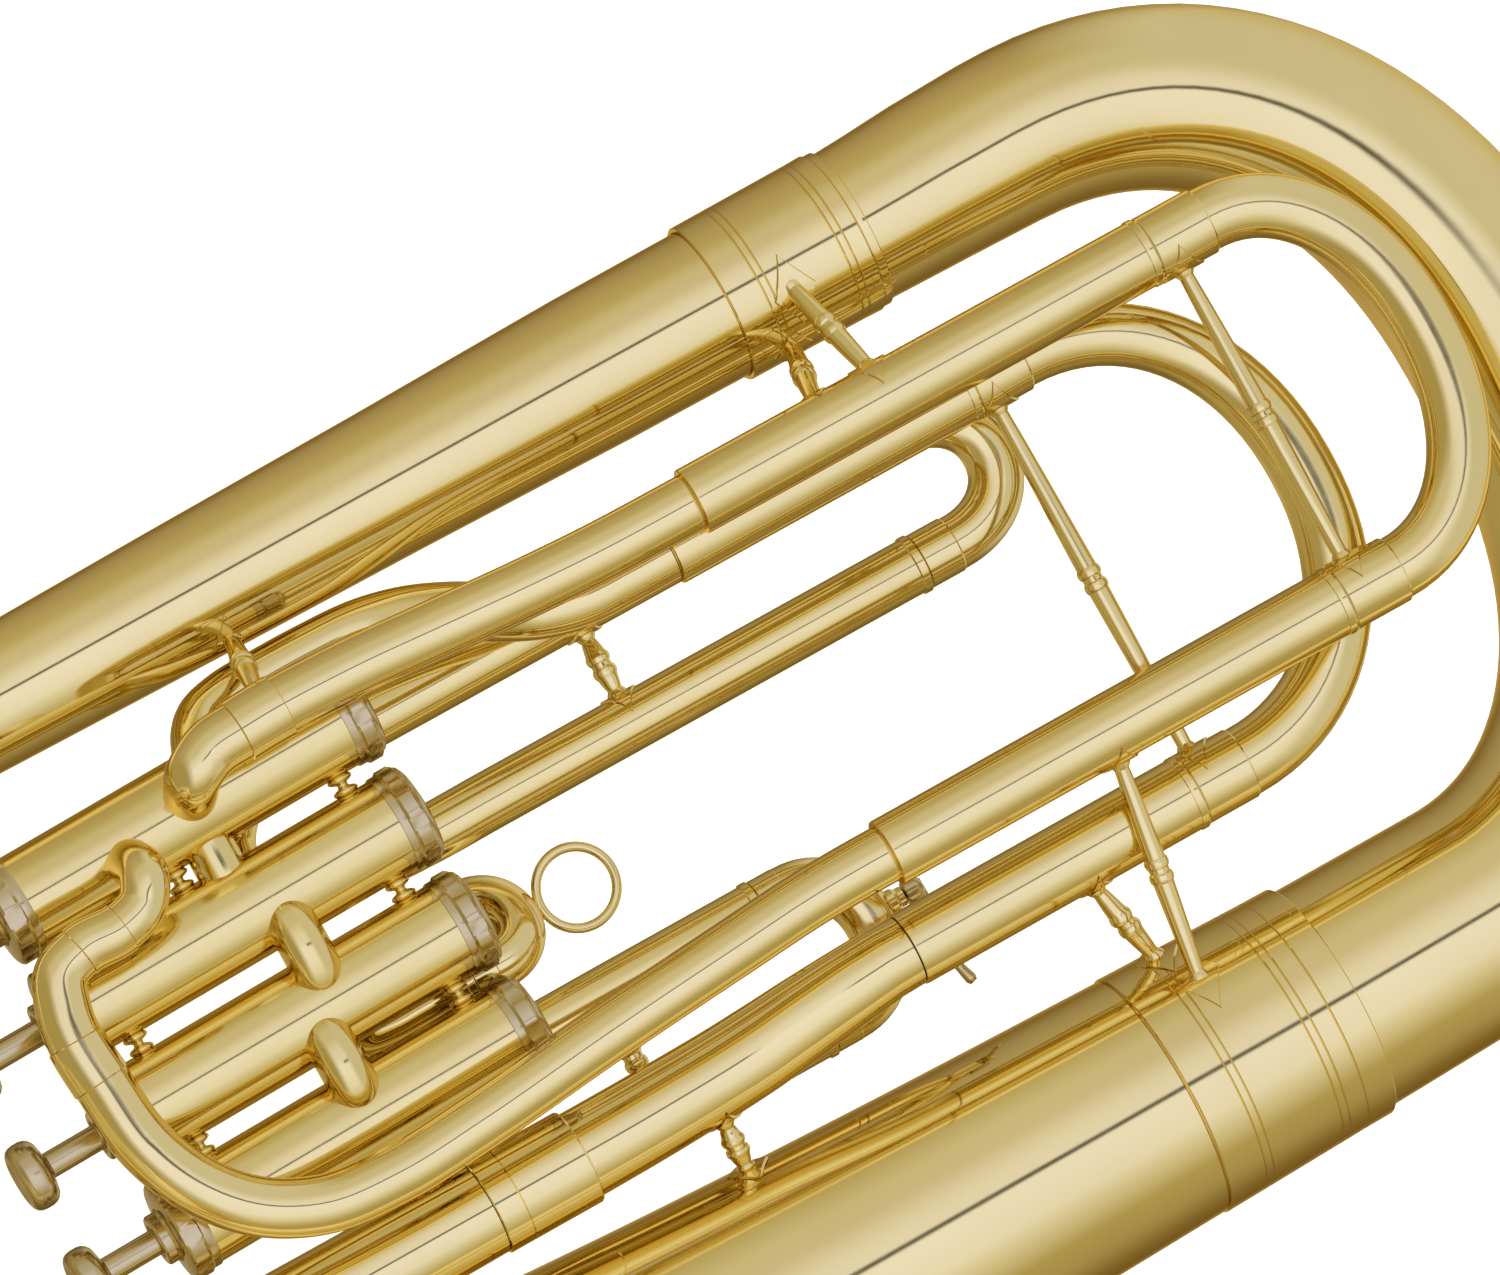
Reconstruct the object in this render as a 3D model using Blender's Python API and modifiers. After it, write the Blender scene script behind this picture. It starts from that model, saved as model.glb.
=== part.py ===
"""Tenor tuba (euphonium) with four top-action piston valves.

Every physical piece is its own closed solid. Millimetres are used for every named size and turned
into metres where a mesh is made. +X points from the bell to the outer branch, +Y away from the
player, +Z up towards the bell mouth. The origin is the lowest point of the bottom bow.
"""

import math

import bmesh
import bpy
from mathutils import Matrix, Vector

MM = 0.001

# ---- layout -------------------------------------------------------------------------------------
BELL_X = -114.4          # axis of the bell
BRANCH_X = 115.1         # axis of the outer branch at its foot
BRANCH_TOP_X = 114.4     # and where the top bow joins it
VALVE_Y = -15.0          # plane of the four valves
MAIN_Y = -20.0           # plane of the main tuning slide
FOURTH_Y = -38.0         # plane of the fourth-valve slide, nearest the player
BACK_Y = 6.0             # plane of the first and third valve slides, behind the valves
SMALL_BRANCH_Y = -14.0   # small branch, between the main slide and the top bow
FIT = 0.3                # gap between pieces that touch
WALL = 0.6               # brass sheet and tube wall
BRACE_R = 2.8            # at the middle of a brace

# ---- valves -------------------------------------------------------------------------------------
VALVE_PITCH = 29.6
FIRST_VALVE_X = -21.1    # at VALVE_MID_Z
VALVE_MID_Z = 388.0
VALVE_LEAN = math.radians(-1.36)
CASING_R = 12.5
CASING_BORE_R = 11.5
CASING_TOP = 49.5        # heights along a valve are counted from its middle
CASING_BOTTOM = -49.0
PISTON_R = 11.0
PISTON_TOP = 42.0
PISTON_BOTTOM = -22.0
SPRING_SEAT = 4.0        # top of the spring chamber inside the piston
STEM_R = 3.4
STEM_TOP = 71.3
BUTTON_R = 9.0
BUTTON_BOTTOM = 71.6
BUTTON_TOP = 79.8
CAP_R = 13.6
CAP_COLLAR_R = 6.8
CAP_COLLAR_TOP = 57.0
SPRING_R = 8.0
SPRING_WIRE_R = 0.55
SPRING_TURNS = 4
VALVE_SIDES = 16

# ---- large tubing -------------------------------------------------------------------------------
BELL_PROFILE = [         # height and outer radius of the bell above its ferrule
    (178.5, 31.4), (202.6, 32.2), (206.0, 33.2), (275.0, 35.3), (335.0, 38.0), (400.0, 42.2),
    (450.0, 45.6), (490.0, 50.0), (525.0, 59.0), (555.0, 73.5), (578.0, 93.0), (594.0, 117.0),
    (603.5, 138.5),
]
BELL_TOP = 605.6
BELL_RIM_RADIUS = 140.0
BELL_SIDES = 30
BELL_FERRULE = (152.6, 202.3)
BELL_FERRULE_R = (31.9, 33.2)
BRANCH_FERRULE = (166.6, 204.9)
BRANCH_FERRULE_R = (21.6, 21.5)
SMALL_FERRULE = (342.0, 369.0)
SMALL_FERRULE_R = 12.7
TOP_BOW_Z = 440.0
SMALL_BRANCH_X = -55.25  # where the top bow begins
SLIDE_FULLNESS = 0.94    # 1 bends a slide in half an ellipse, less makes its bend squarer


def metres(point):
    """A point given in millimetres as a vector in metres."""
    return Vector(point) * MM


def empty_scene():
    for obj in list(bpy.data.objects):
        bpy.data.objects.remove(obj, do_unlink=True)
    for group in list(bpy.data.collections):
        bpy.data.collections.remove(group)


def new_collection(name):
    group = bpy.data.collections.new(name)
    bpy.context.scene.collection.children.link(group)
    return group


def finish(name, colour, roughness, metallic=1.0):
    material = bpy.data.materials.new(name)
    material.use_nodes = True
    shader = material.node_tree.nodes["Principled BSDF"]
    shader.inputs["Base Color"].default_value = (*colour, 1.0)
    shader.inputs["Roughness"].default_value = roughness
    shader.inputs["Metallic"].default_value = metallic
    material.diffuse_color = (*colour, 1.0)
    return material


empty_scene()
PARTS = new_collection("tenor_tuba")
CUTTERS = new_collection("cutters")
BRASS = finish("lacquered_brass", (0.80, 0.62, 0.27), 0.14)
VALVE_BRASS = finish("valve_brass", (0.78, 0.60, 0.26), 0.16)
SLIDE_BRASS = finish("slide_brass", (0.80, 0.62, 0.28), 0.14)
NICKEL = finish("nickel_plate", (0.62, 0.57, 0.50), 0.2)
PISTON_METAL = finish("piston_metal", (0.60, 0.60, 0.60), 0.25)
SPRING_STEEL = finish("spring_steel", (0.45, 0.46, 0.48), 0.35)


def smooth_path(points, steps=2):
    """Points on a curve that passes through every given point, steps of them for each span."""
    path = []
    last = len(points) - 1
    for i in range(last):
        before = Vector(points[max(i - 1, 0)])
        start = Vector(points[i])
        end = Vector(points[i + 1])
        after = Vector(points[min(i + 2, last)])
        for k in range(steps):
            t = k / steps
            path.append(0.5 * (
                2 * start + (end - before) * t
                + (2 * before - 5 * start + 4 * end - after) * t * t
                + (3 * start - before - 3 * end + after) * t ** 3
            ))
    path.append(Vector(points[last]))
    return path


def bow(left_x, right_x, top_z, drop, y, steps=10):
    """A bend a little squarer than half an ellipse, which hangs between two vertical legs."""
    middle = (left_x + right_x) / 2
    half = (right_x - left_x) / 2
    path = []
    for i in range(steps + 1):
        angle = math.pi * i / steps
        across = math.copysign(abs(math.cos(angle)) ** SLIDE_FULLNESS, math.cos(angle))
        down = abs(math.sin(angle)) ** SLIDE_FULLNESS
        path.append(Vector((middle - half * across, y, top_z - drop * down)))
    return path


def add_tube(name, path, radius, material, wall=WALL, roundness=3, slide_axis=None):
    """A tube along a path. radius is one number or one for each point; a wall of None is a solid rod."""
    curve = bpy.data.curves.new(name, "CURVE")
    curve.dimensions = "3D"
    curve.bevel_depth = MM
    curve.bevel_resolution = roundness
    curve.use_fill_caps = wall is None
    origin = metres(slide_axis) if slide_axis else Vector((0, 0, 0))
    spline = curve.splines.new("POLY")
    spline.points.add(len(path) - 1)
    for i, point in enumerate(path):
        spline.points[i].co = (*(metres(point) - origin), 1.0)
        spline.points[i].radius = radius[i] if isinstance(radius, list) else radius
    spline.use_smooth = True
    curve.materials.append(material)
    obj = bpy.data.objects.new(name, curve)
    obj.location = origin
    PARTS.objects.link(obj)
    if wall is not None:
        shell = obj.modifiers.new("wall", "SOLIDIFY")
        shell.thickness = wall * MM
        shell.offset = -1.0
    return obj


def taper(count, first, last):
    """count radii from first to last in even steps."""
    return [first + (last - first) * i / (count - 1) for i in range(count)]


def as_mesh(obj):
    """The curve object made into a mesh object of the same name, so that it can be cut."""
    name = obj.name
    bpy.context.view_layer.update()
    graph = bpy.context.evaluated_depsgraph_get()
    mesh = bpy.data.meshes.new_from_object(obj.evaluated_get(graph))
    bm = bmesh.new()
    bm.from_mesh(mesh)
    bmesh.ops.remove_doubles(bm, verts=bm.verts, dist=1e-6)
    bmesh.ops.recalc_face_normals(bm, faces=bm.faces)
    bm.to_mesh(mesh)
    bm.free()
    solid = bpy.data.objects.new(name + "_mesh", mesh)
    solid.matrix_world = obj.matrix_world.copy()
    PARTS.objects.link(solid)
    bpy.data.objects.remove(obj, do_unlink=True)
    solid.name = name
    return solid


def add_turned(name, outline, material, steps=VALVE_SIDES, closed=False, parent=None, at=(0, 0, 0)):
    """A turned solid. outline is (radius, height) from the top down its outer side; a closed outline
    comes back up the inside."""
    mesh = bpy.data.meshes.new(name)
    bm = bmesh.new()
    verts = [bm.verts.new((r * MM, 0.0, z * MM)) for r, z in outline]
    for a, b in zip(verts, verts[1:]):
        bm.edges.new((a, b))
    if closed:
        bm.edges.new((verts[-1], verts[0]))
    bm.to_mesh(mesh)
    bm.free()
    mesh.materials.append(material)
    obj = bpy.data.objects.new(name, mesh)
    PARTS.objects.link(obj)
    obj.parent = parent
    obj.location = metres(at)
    turn = obj.modifiers.new("turn", "SCREW")
    turn.axis = "Z"
    turn.steps = steps
    turn.render_steps = steps
    turn.use_merge_vertices = True
    turn.merge_threshold = 0.00001
    turn.use_smooth_shade = True
    return obj


def add_cutter(name, radius, low, high, centre, lean=0.0):
    """A hidden cylinder along Z that makes room for a casing or a tube."""
    mesh = bpy.data.meshes.new(name)
    bm = bmesh.new()
    bmesh.ops.create_cone(
        bm, cap_ends=True, segments=VALVE_SIDES, radius1=radius * MM, radius2=radius * MM,
        depth=(high - low) * MM,
        matrix=Matrix.Translation((0, 0, (high + low) / 2 * MM)),
    )
    bm.to_mesh(mesh)
    bm.free()
    cutter = bpy.data.objects.new(name, mesh)
    CUTTERS.objects.link(cutter)
    cutter.location = metres(centre)
    cutter.rotation_euler = (0, lean, 0)
    cutter.hide_render = True
    cutter.display_type = "WIRE"
    return cutter


def cut(obj, *cutters):
    """Cuts a tube where it meets the given cylinders."""
    solid = as_mesh(obj)
    for cutter in cutters:
        trim = solid.modifiers.new("trim", "BOOLEAN")
        trim.operation = "DIFFERENCE"
        trim.solver = "EXACT"
        trim.object = cutter
    return solid


# ---- valves -------------------------------------------------------------------------------------
def add_valve(number):
    x = FIRST_VALVE_X + VALVE_PITCH * (number - 1)
    frame = bpy.data.objects.new(f"valve_{number}_frame", None)
    PARTS.objects.link(frame)
    frame.location = metres((x, VALVE_Y, VALVE_MID_Z))
    frame.rotation_euler = (0, VALVE_LEAN, 0)

    add_turned(f"valve_{number}_casing", [
        (CASING_R, CASING_TOP), (CASING_R, CASING_BOTTOM),
        (CASING_BORE_R, CASING_BOTTOM), (CASING_BORE_R, CASING_TOP),
    ], VALVE_BRASS, closed=True, parent=frame)

    add_turned(f"valve_{number}_piston", [
        (0, STEM_TOP), (STEM_R, STEM_TOP), (STEM_R, PISTON_TOP), (PISTON_R - 1, PISTON_TOP),
        (PISTON_R, PISTON_TOP - 1), (PISTON_R, PISTON_BOTTOM), (PISTON_R - 0.9, PISTON_BOTTOM),
        (PISTON_R - 0.9, SPRING_SEAT), (0, SPRING_SEAT),
    ], PISTON_METAL, parent=frame)

    add_turned(f"valve_{number}_top_cap", [
        (STEM_R + 1.5, CAP_COLLAR_TOP), (CAP_COLLAR_R, CAP_COLLAR_TOP),
        (CAP_COLLAR_R, CASING_TOP + 4.5), (CAP_R - 0.9, CASING_TOP + 4.1),
        (CAP_R, CASING_TOP + 3.3), (CAP_R, CASING_TOP - 2.7),
        (CASING_R + FIT, CASING_TOP - 2.7), (CASING_R + FIT, CASING_TOP + FIT),
        (STEM_R + 0.5, CASING_TOP + FIT), (STEM_R + 0.5, CAP_COLLAR_TOP - 1.5),
    ], NICKEL, closed=True, parent=frame)

    add_turned(f"valve_{number}_bottom_cap", [
        (CASING_R + FIT, CASING_BOTTOM + 2.5), (CAP_R, CASING_BOTTOM + 2.5),
        (CAP_R, CASING_BOTTOM - 3.0), (CAP_R - 1.5, CASING_BOTTOM - 5.0),
        (5.0, CASING_BOTTOM - 7.8), (1.5, CASING_BOTTOM - 7.8), (1.5, CASING_BOTTOM - 1.6),
        (CASING_R - 1.0, CASING_BOTTOM - FIT), (CASING_R + FIT, CASING_BOTTOM - FIT),
    ], NICKEL, closed=True, parent=frame)

    add_turned(f"valve_{number}_button", [
        (0, BUTTON_TOP), (BUTTON_R - 2.2, BUTTON_TOP), (BUTTON_R - 0.8, BUTTON_TOP - 0.9),
        (BUTTON_R, BUTTON_TOP - 2.8), (BUTTON_R, BUTTON_BOTTOM + 3.2),
        (BUTTON_R - 1.2, BUTTON_BOTTOM + 1.4), (4.4, BUTTON_BOTTOM),
        (0, BUTTON_BOTTOM),
    ], NICKEL, parent=frame)

    low = CASING_BOTTOM + 0.6
    high = SPRING_SEAT - 0.9
    turns = []
    per_turn = 8
    for i in range(SPRING_TURNS * per_turn + 1):
        angle = 2 * math.pi * i / per_turn
        height = low + (high - low) * i / (SPRING_TURNS * per_turn)
        turns.append((SPRING_R * math.cos(angle), SPRING_R * math.sin(angle), height))
    spring = add_tube(f"valve_{number}_spring", turns, SPRING_WIRE_R, SPRING_STEEL, None, 0)
    spring.parent = frame
    return add_cutter(
        f"valve_{number}_room", CASING_R + FIT, -60, 60, (x, VALVE_Y, VALVE_MID_Z), VALVE_LEAN)


def valve_x(number, z):
    """Where a leaning valve's axis is at height z."""
    at_middle = FIRST_VALVE_X + VALVE_PITCH * (number - 1)
    return at_middle + (z - VALVE_MID_Z) * math.tan(VALVE_LEAN)


def add_knuckles(rooms):
    """The short tubes that carry the main windway from each valve to the next."""
    radius = 6.4
    for number, z, bulge in ((1, 384.4, -9.0), (2, 378.4, -9.0), (3, 386.0, 0.0)):
        left = valve_x(number, z)
        right = valve_x(number + 1, z)
        path = smooth_path([
            (left + 3.0, VALVE_Y + bulge * 0.45, z),
            (left + 9.5, VALVE_Y + bulge, z),
            (right - 9.5, VALVE_Y + bulge, z),
            (right - 3.0, VALVE_Y + bulge * 0.45, z),
        ], 3)
        tube = add_tube(f"knuckle_{number}_{number + 1}", path, radius, VALVE_BRASS, 0.8)
        cut(tube, rooms[number - 1], rooms[number])


# ---- bell, bows and branches --------------------------------------------------------------------
def add_bell():
    outer = [(r, z) for z, r in reversed(BELL_PROFILE)]
    inner = [(r - WALL - 0.1, z) for z, r in BELL_PROFILE]
    rim = [
        (BELL_RIM_RADIUS - 1.2, 604.2), (BELL_RIM_RADIUS - 1.0, BELL_TOP),
        (BELL_RIM_RADIUS + 0.4, BELL_TOP), (BELL_RIM_RADIUS + 1.0, 604.4),
        (BELL_RIM_RADIUS + 0.2, 602.9),
    ]
    add_turned("bell", rim + outer + inner, BRASS, BELL_SIDES, closed=True, at=(BELL_X, 0, 0))
    add_ferrule("bell_ferrule", BELL_FERRULE, BELL_FERRULE_R, (BELL_X, 0, 0), BELL_SIDES)


def add_ferrule(name, heights, radii, at, steps=24):
    low, high = heights
    low_r, high_r = radii
    bead = 0.5
    add_turned(name, [
        (high_r, high), (low_r + bead, low + 2.5), (low_r + bead, low),
        (low_r - WALL, low), (high_r - WALL, high),
    ], BRASS, steps, closed=True, at=at)


def quarter(middle_x, side_x, top_z, low_z, power, steps):
    """Points from a vertical leg at side_x round to the lowest point, at middle_x. A power under 1 makes
    the bend squarer than an ellipse."""
    path = []
    for i in range(steps + 1):
        angle = math.pi / 2 * i / steps
        across = max(math.cos(angle), 0.0) ** power
        down = math.sin(angle) ** power
        path.append(Vector((
            middle_x + (side_x - middle_x) * across, 0, top_z - (top_z - low_z) * down)))
    return path


def add_bottom_bow():
    """The large bow under the instrument, from the outer branch to the bell."""
    half_gap = 5.0
    lowest = 27.5
    steps = 6
    branch_leg = [Vector((BRANCH_X, 0, 185.5)), Vector((BRANCH_X, 0, 165.5)), Vector((115.7, 0, 142.0))]
    bell_leg = [Vector((-114.1, 0, 136.0)), Vector((BELL_X, 0, 152.0)), Vector((BELL_X, 0, 177.5))]
    branch_half = quarter(half_gap, 115.9, 120.0, lowest, 0.89, steps)
    bell_half = quarter(-half_gap, -113.8, 112.4, lowest, 0.94, steps)
    bell_half.reverse()
    path = branch_leg + branch_half + bell_half + bell_leg
    radii = [20.4, 20.7, 21.6]
    radii += taper(steps + 1, 22.3, lowest) + taper(steps + 1, lowest, 30.3)
    radii += [30.7, 30.9, 30.9]
    add_tube("bottom_bow", path, radii, BRASS, 0.7, 5)


def add_outer_branch():
    path = [
        Vector((BRANCH_X, 0, 186.5)), Vector((BRANCH_X, 0, 240.0)), Vector((114.9, 0, 300.0)),
        Vector((114.7, 0, 360.0)), Vector((BRANCH_TOP_X, 0, TOP_BOW_Z)),
    ]
    add_tube("outer_branch", path, [20.4, 20.1, 18.9, 18.1, 16.6], BRASS, 0.7, 5)
    add_ferrule("branch_ferrule", BRANCH_FERRULE, BRANCH_FERRULE_R, (BRANCH_X, 0, 0))


def add_top_bow():
    """The bow over the valves, from the small branch to the outer branch."""
    middle = (BRANCH_TOP_X + SMALL_BRANCH_X) / 2
    half = (BRANCH_TOP_X - SMALL_BRANCH_X) / 2
    rise = 80.0
    straight = (356.5, 369.4, 370.4, 400.0)
    path = [Vector((SMALL_BRANCH_X, SMALL_BRANCH_Y, z)) for z in straight]
    steps = 10
    for i in range(steps + 1):
        angle = math.pi * i / steps
        y = SMALL_BRANCH_Y * (1 + math.cos(angle)) / 2
        path.append(Vector((
            middle - half * math.cos(angle), y,
            TOP_BOW_Z + 6.0 + rise * math.sin(angle))))
    path.append(Vector((BRANCH_TOP_X, 0, TOP_BOW_Z + FIT)))
    radii = [11.3, 11.3, 12.2, 12.5] + taper(steps + 1, 12.8, 16.4) + [16.5]
    add_tube("top_bow", path, radii, BRASS, 0.6, 4)


def add_small_branch():
    path = [Vector((MAIN_LEFT_X, MAIN_Y, z)) for z in (232.0, 245.2, 246.0)]
    path += smooth_path([
        (MAIN_LEFT_X, MAIN_Y, 252.0), (-51.1, MAIN_Y + 0.6, 262.0), (-52.4, -17.0, 276.0),
        (-53.8, SMALL_BRANCH_Y - 0.3, 290.0), (-54.9, SMALL_BRANCH_Y, 318.0),
        (SMALL_BRANCH_X, SMALL_BRANCH_Y, 355.8),
    ])
    radii = [8.1, 8.1, 9.5] + taper(len(path) - 3, 9.6, 11.5)
    add_tube("small_branch", path, radii, BRASS, 0.6, 4)
    low, high = SMALL_FERRULE
    add_turned("small_branch_ferrule", [
        (SMALL_FERRULE_R, high), (SMALL_FERRULE_R, low), (SMALL_FERRULE_R - WALL, low),
        (SMALL_FERRULE_R - WALL, high),
    ], BRASS, 16, closed=True, at=(SMALL_BRANCH_X, SMALL_BRANCH_Y, 0))


# ---- slides -------------------------------------------------------------------------------------
def add_sleeve(name, x, y, low, high, radius, material=SLIDE_BRASS):
    """A straight outer slide tube with a thicker lip at its mouth."""
    lip = 0.5
    add_turned(name, [
        (radius, high), (radius, low + 3.0), (radius + lip, low + 2.4), (radius + lip, low),
        (radius - WALL, low), (radius - WALL, high),
    ], material, 14, closed=True, at=(x, y, 0))


def add_slide(name, left, right, y, mouth, bow_top, drop, leg_top, bow_radii, leg_radius):
    """A slide: two inner legs and the bow that joins them, which tapers from its left-hand radius to its
    right-hand one. Its origin is on its line of travel."""
    path = [Vector((left, y, leg_top)), Vector((left, y, mouth - 0.4))]
    radii = [leg_radius, leg_radius]
    bend = bow(left, right, bow_top, drop, y)
    path += [Vector((left, y, mouth - 0.9))] + bend + [Vector((right, y, mouth - 0.9))]
    radii += taper(len(bend) + 2, *bow_radii)
    path += [Vector((right, y, mouth - 0.4)), Vector((right, y, leg_top))]
    radii += [leg_radius, leg_radius]
    middle = ((left + right) / 2, y, mouth)
    return add_tube(name, path, radii, SLIDE_BRASS, 0.55, 2, middle)


MAIN_LEFT_X = -50.4
MAIN_RIGHT_X = 65.5
MAIN_MOUTH_Z = 162.0
MAIN_LEFT_R = 9.8
MAIN_RIGHT_R = 8.9
MAIN_BOW_R = (9.2, 7.8)   # at the left and right legs
MAIN_BRACE_Z = 157.6


def add_main_slide():
    add_sleeve("main_sleeve_left", MAIN_LEFT_X, MAIN_Y, MAIN_MOUTH_Z, 245.0, MAIN_LEFT_R)
    add_sleeve("main_sleeve_right", MAIN_RIGHT_X, MAIN_Y, MAIN_MOUTH_Z, 249.5, MAIN_RIGHT_R)
    add_slide(
        "main_tuning_slide", MAIN_LEFT_X, MAIN_RIGHT_X, MAIN_Y, MAIN_MOUTH_Z, 146.8, 50.4, 226.0,
        MAIN_BOW_R, 7.8)


def add_main_neck(rooms):
    """From the fourth valve down to the main slide's right-hand sleeve."""
    path = [
        (71.0, -13.0, 374.5), (79.5, -7.0, 374.0), (84.5, -3.0, 369.5), (86.6, -1.0, 361.5),
        (86.9, 0.0, 351.0), (86.9, 0.5, 338.5), (85.8, -1.0, 322.0), (83.2, -5.0, 312.5),
        (79.0, -9.5, 303.5), (73.5, -14.5, 294.5), (68.5, -18.3, 284.5), (65.9, MAIN_Y, 274.0),
        (MAIN_RIGHT_X, MAIN_Y, 262.0), (MAIN_RIGHT_X, MAIN_Y, 250.6), (MAIN_RIGHT_X, MAIN_Y, 249.8),
        (MAIN_RIGHT_X, MAIN_Y, 232.0),
    ]
    radii = [7.6] * (len(path) - 2) + [7.2, 7.2]
    cut(add_tube("main_neck", path, radii, BRASS), rooms[3])


FOURTH_LEFT_X = -26.35
FOURTH_RIGHT_X = 73.3
FOURTH_MOUTH_Z = 108.8
FOURTH_TOP_Z = 241.6
FOURTH_R = 8.9
FOURTH_BOW_R = 8.3
FOURTH_BRACE_Z = 103.0


def add_fourth_loop(rooms):
    add_sleeve(
        "fourth_sleeve_left", FOURTH_LEFT_X, FOURTH_Y, FOURTH_MOUTH_Z, FOURTH_TOP_Z, FOURTH_R)
    add_sleeve(
        "fourth_sleeve_right", FOURTH_RIGHT_X, FOURTH_Y, FOURTH_MOUTH_Z, FOURTH_TOP_Z, FOURTH_R)
    add_slide(
        "fourth_slide", FOURTH_LEFT_X, FOURTH_RIGHT_X, FOURTH_Y, FOURTH_MOUTH_Z, 92.3, 36.6, 215.0,
        (FOURTH_BOW_R, FOURTH_BOW_R), 7.7)

    over = [
        (62.5, -20.0, 406.5), (61.5, -30.0, 406.5), (57.5, FOURTH_Y + 0.6, 406.8),
        (52.0, FOURTH_Y, 410.5), (49.4, FOURTH_Y, 418.0), (49.4, FOURTH_Y, 429.0),
        (46.5, FOURTH_Y, 436.8), (38.5, FOURTH_Y, 440.4), (16.0, FOURTH_Y, 440.6),
        (0.0, FOURTH_Y, 438.8), (-14.5, FOURTH_Y, 432.6), (-26.5, FOURTH_Y, 422.0),
        (-34.0, FOURTH_Y, 407.5), (-36.2, FOURTH_Y, 388.5), (-35.0, FOURTH_Y, 364.0),
        (-31.4, FOURTH_Y, 325.7), (-28.4, FOURTH_Y, 287.4), (-26.6, FOURTH_Y, 261.9),
        (FOURTH_LEFT_X, FOURTH_Y, 250.0), (FOURTH_LEFT_X, FOURTH_Y, FOURTH_TOP_Z + 1.0),
        (FOURTH_LEFT_X, FOURTH_Y, FOURTH_TOP_Z + 0.2), (FOURTH_LEFT_X, FOURTH_Y, 222.0),
    ]
    radii = taper(6, 6.0, 6.3) + taper(3, 6.7, 7.4) + [7.5] * (len(over) - 11) + [7.2, 7.2]
    cut(add_tube("fourth_branch", over, radii, BRASS), rooms[3])

    neck = [
        (70.0, -20.0, 384.5), (71.0, -30.0, 385.0), (74.0, FOURTH_Y + 0.6, 383.5),
        (77.0, FOURTH_Y, 377.5), (77.9, FOURTH_Y, 368.0), (77.9, FOURTH_Y, 338.5),
        (76.2, FOURTH_Y, 313.0), (74.4, FOURTH_Y, 287.5), (73.5, FOURTH_Y, 268.0),
        (FOURTH_RIGHT_X, FOURTH_Y, 250.0), (FOURTH_RIGHT_X, FOURTH_Y, FOURTH_TOP_Z + 1.0),
        (FOURTH_RIGHT_X, FOURTH_Y, FOURTH_TOP_Z + 0.2), (FOURTH_RIGHT_X, FOURTH_Y, 222.0),
    ]
    radii = taper(4, 6.6, 7.5) + [7.6] * (len(neck) - 6) + [7.2, 7.2]
    cut(add_tube("fourth_neck", neck, radii, BRASS), rooms[3])


FIRST_LEFT_X = -58.1
FIRST_RIGHT_X = -23.5
FIRST_MOUTH_Z = 268.0
THIRD_LEFT_X = 32.85
THIRD_RIGHT_X = 65.0
THIRD_MOUTH_Z = 189.0
FIRST_R = 7.1            # outer tubes of each valve's slide
SECOND_R = 6.8
THIRD_R = 7.5


def add_valve_tube(name, path, room, radius):
    """An outer slide tube that turns in at its top and ends on a valve casing."""
    cut(add_tube(name, path, radius, VALVE_BRASS, WALL, 2), room)


def add_first_slide(rooms):
    add_valve_tube("first_outer_left", [
        (FIRST_LEFT_X, BACK_Y, FIRST_MOUTH_Z), (FIRST_LEFT_X, BACK_Y, 330.0),
        (FIRST_LEFT_X, BACK_Y, 349.0), (-54.0, BACK_Y, 360.5), (-46.0, BACK_Y, 365.7),
        (-37.0, BACK_Y - 1.5, 366.2), (-28.0, -5.0, 366.2), (-23.0, -12.0, 366.2),
    ], rooms[0], FIRST_R)
    add_valve_tube("first_outer_right", [
        (FIRST_RIGHT_X, BACK_Y, FIRST_MOUTH_Z), (FIRST_RIGHT_X, BACK_Y, 315.0),
        (FIRST_RIGHT_X, BACK_Y, 335.0), (-23.2, BACK_Y - 0.8, 344.0), (-22.5, 1.5, 350.3),
        (-21.5, -6.0, 352.7), (-21.0, -12.0, 352.7),
    ], rooms[0], FIRST_R)
    add_slide(
        "first_slide", FIRST_LEFT_X, FIRST_RIGHT_X, BACK_Y, FIRST_MOUTH_Z, 260.3, 15.7, 322.0,
        (FIRST_R - 0.1, FIRST_R - 0.1), FIRST_R - 1.1)


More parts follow.
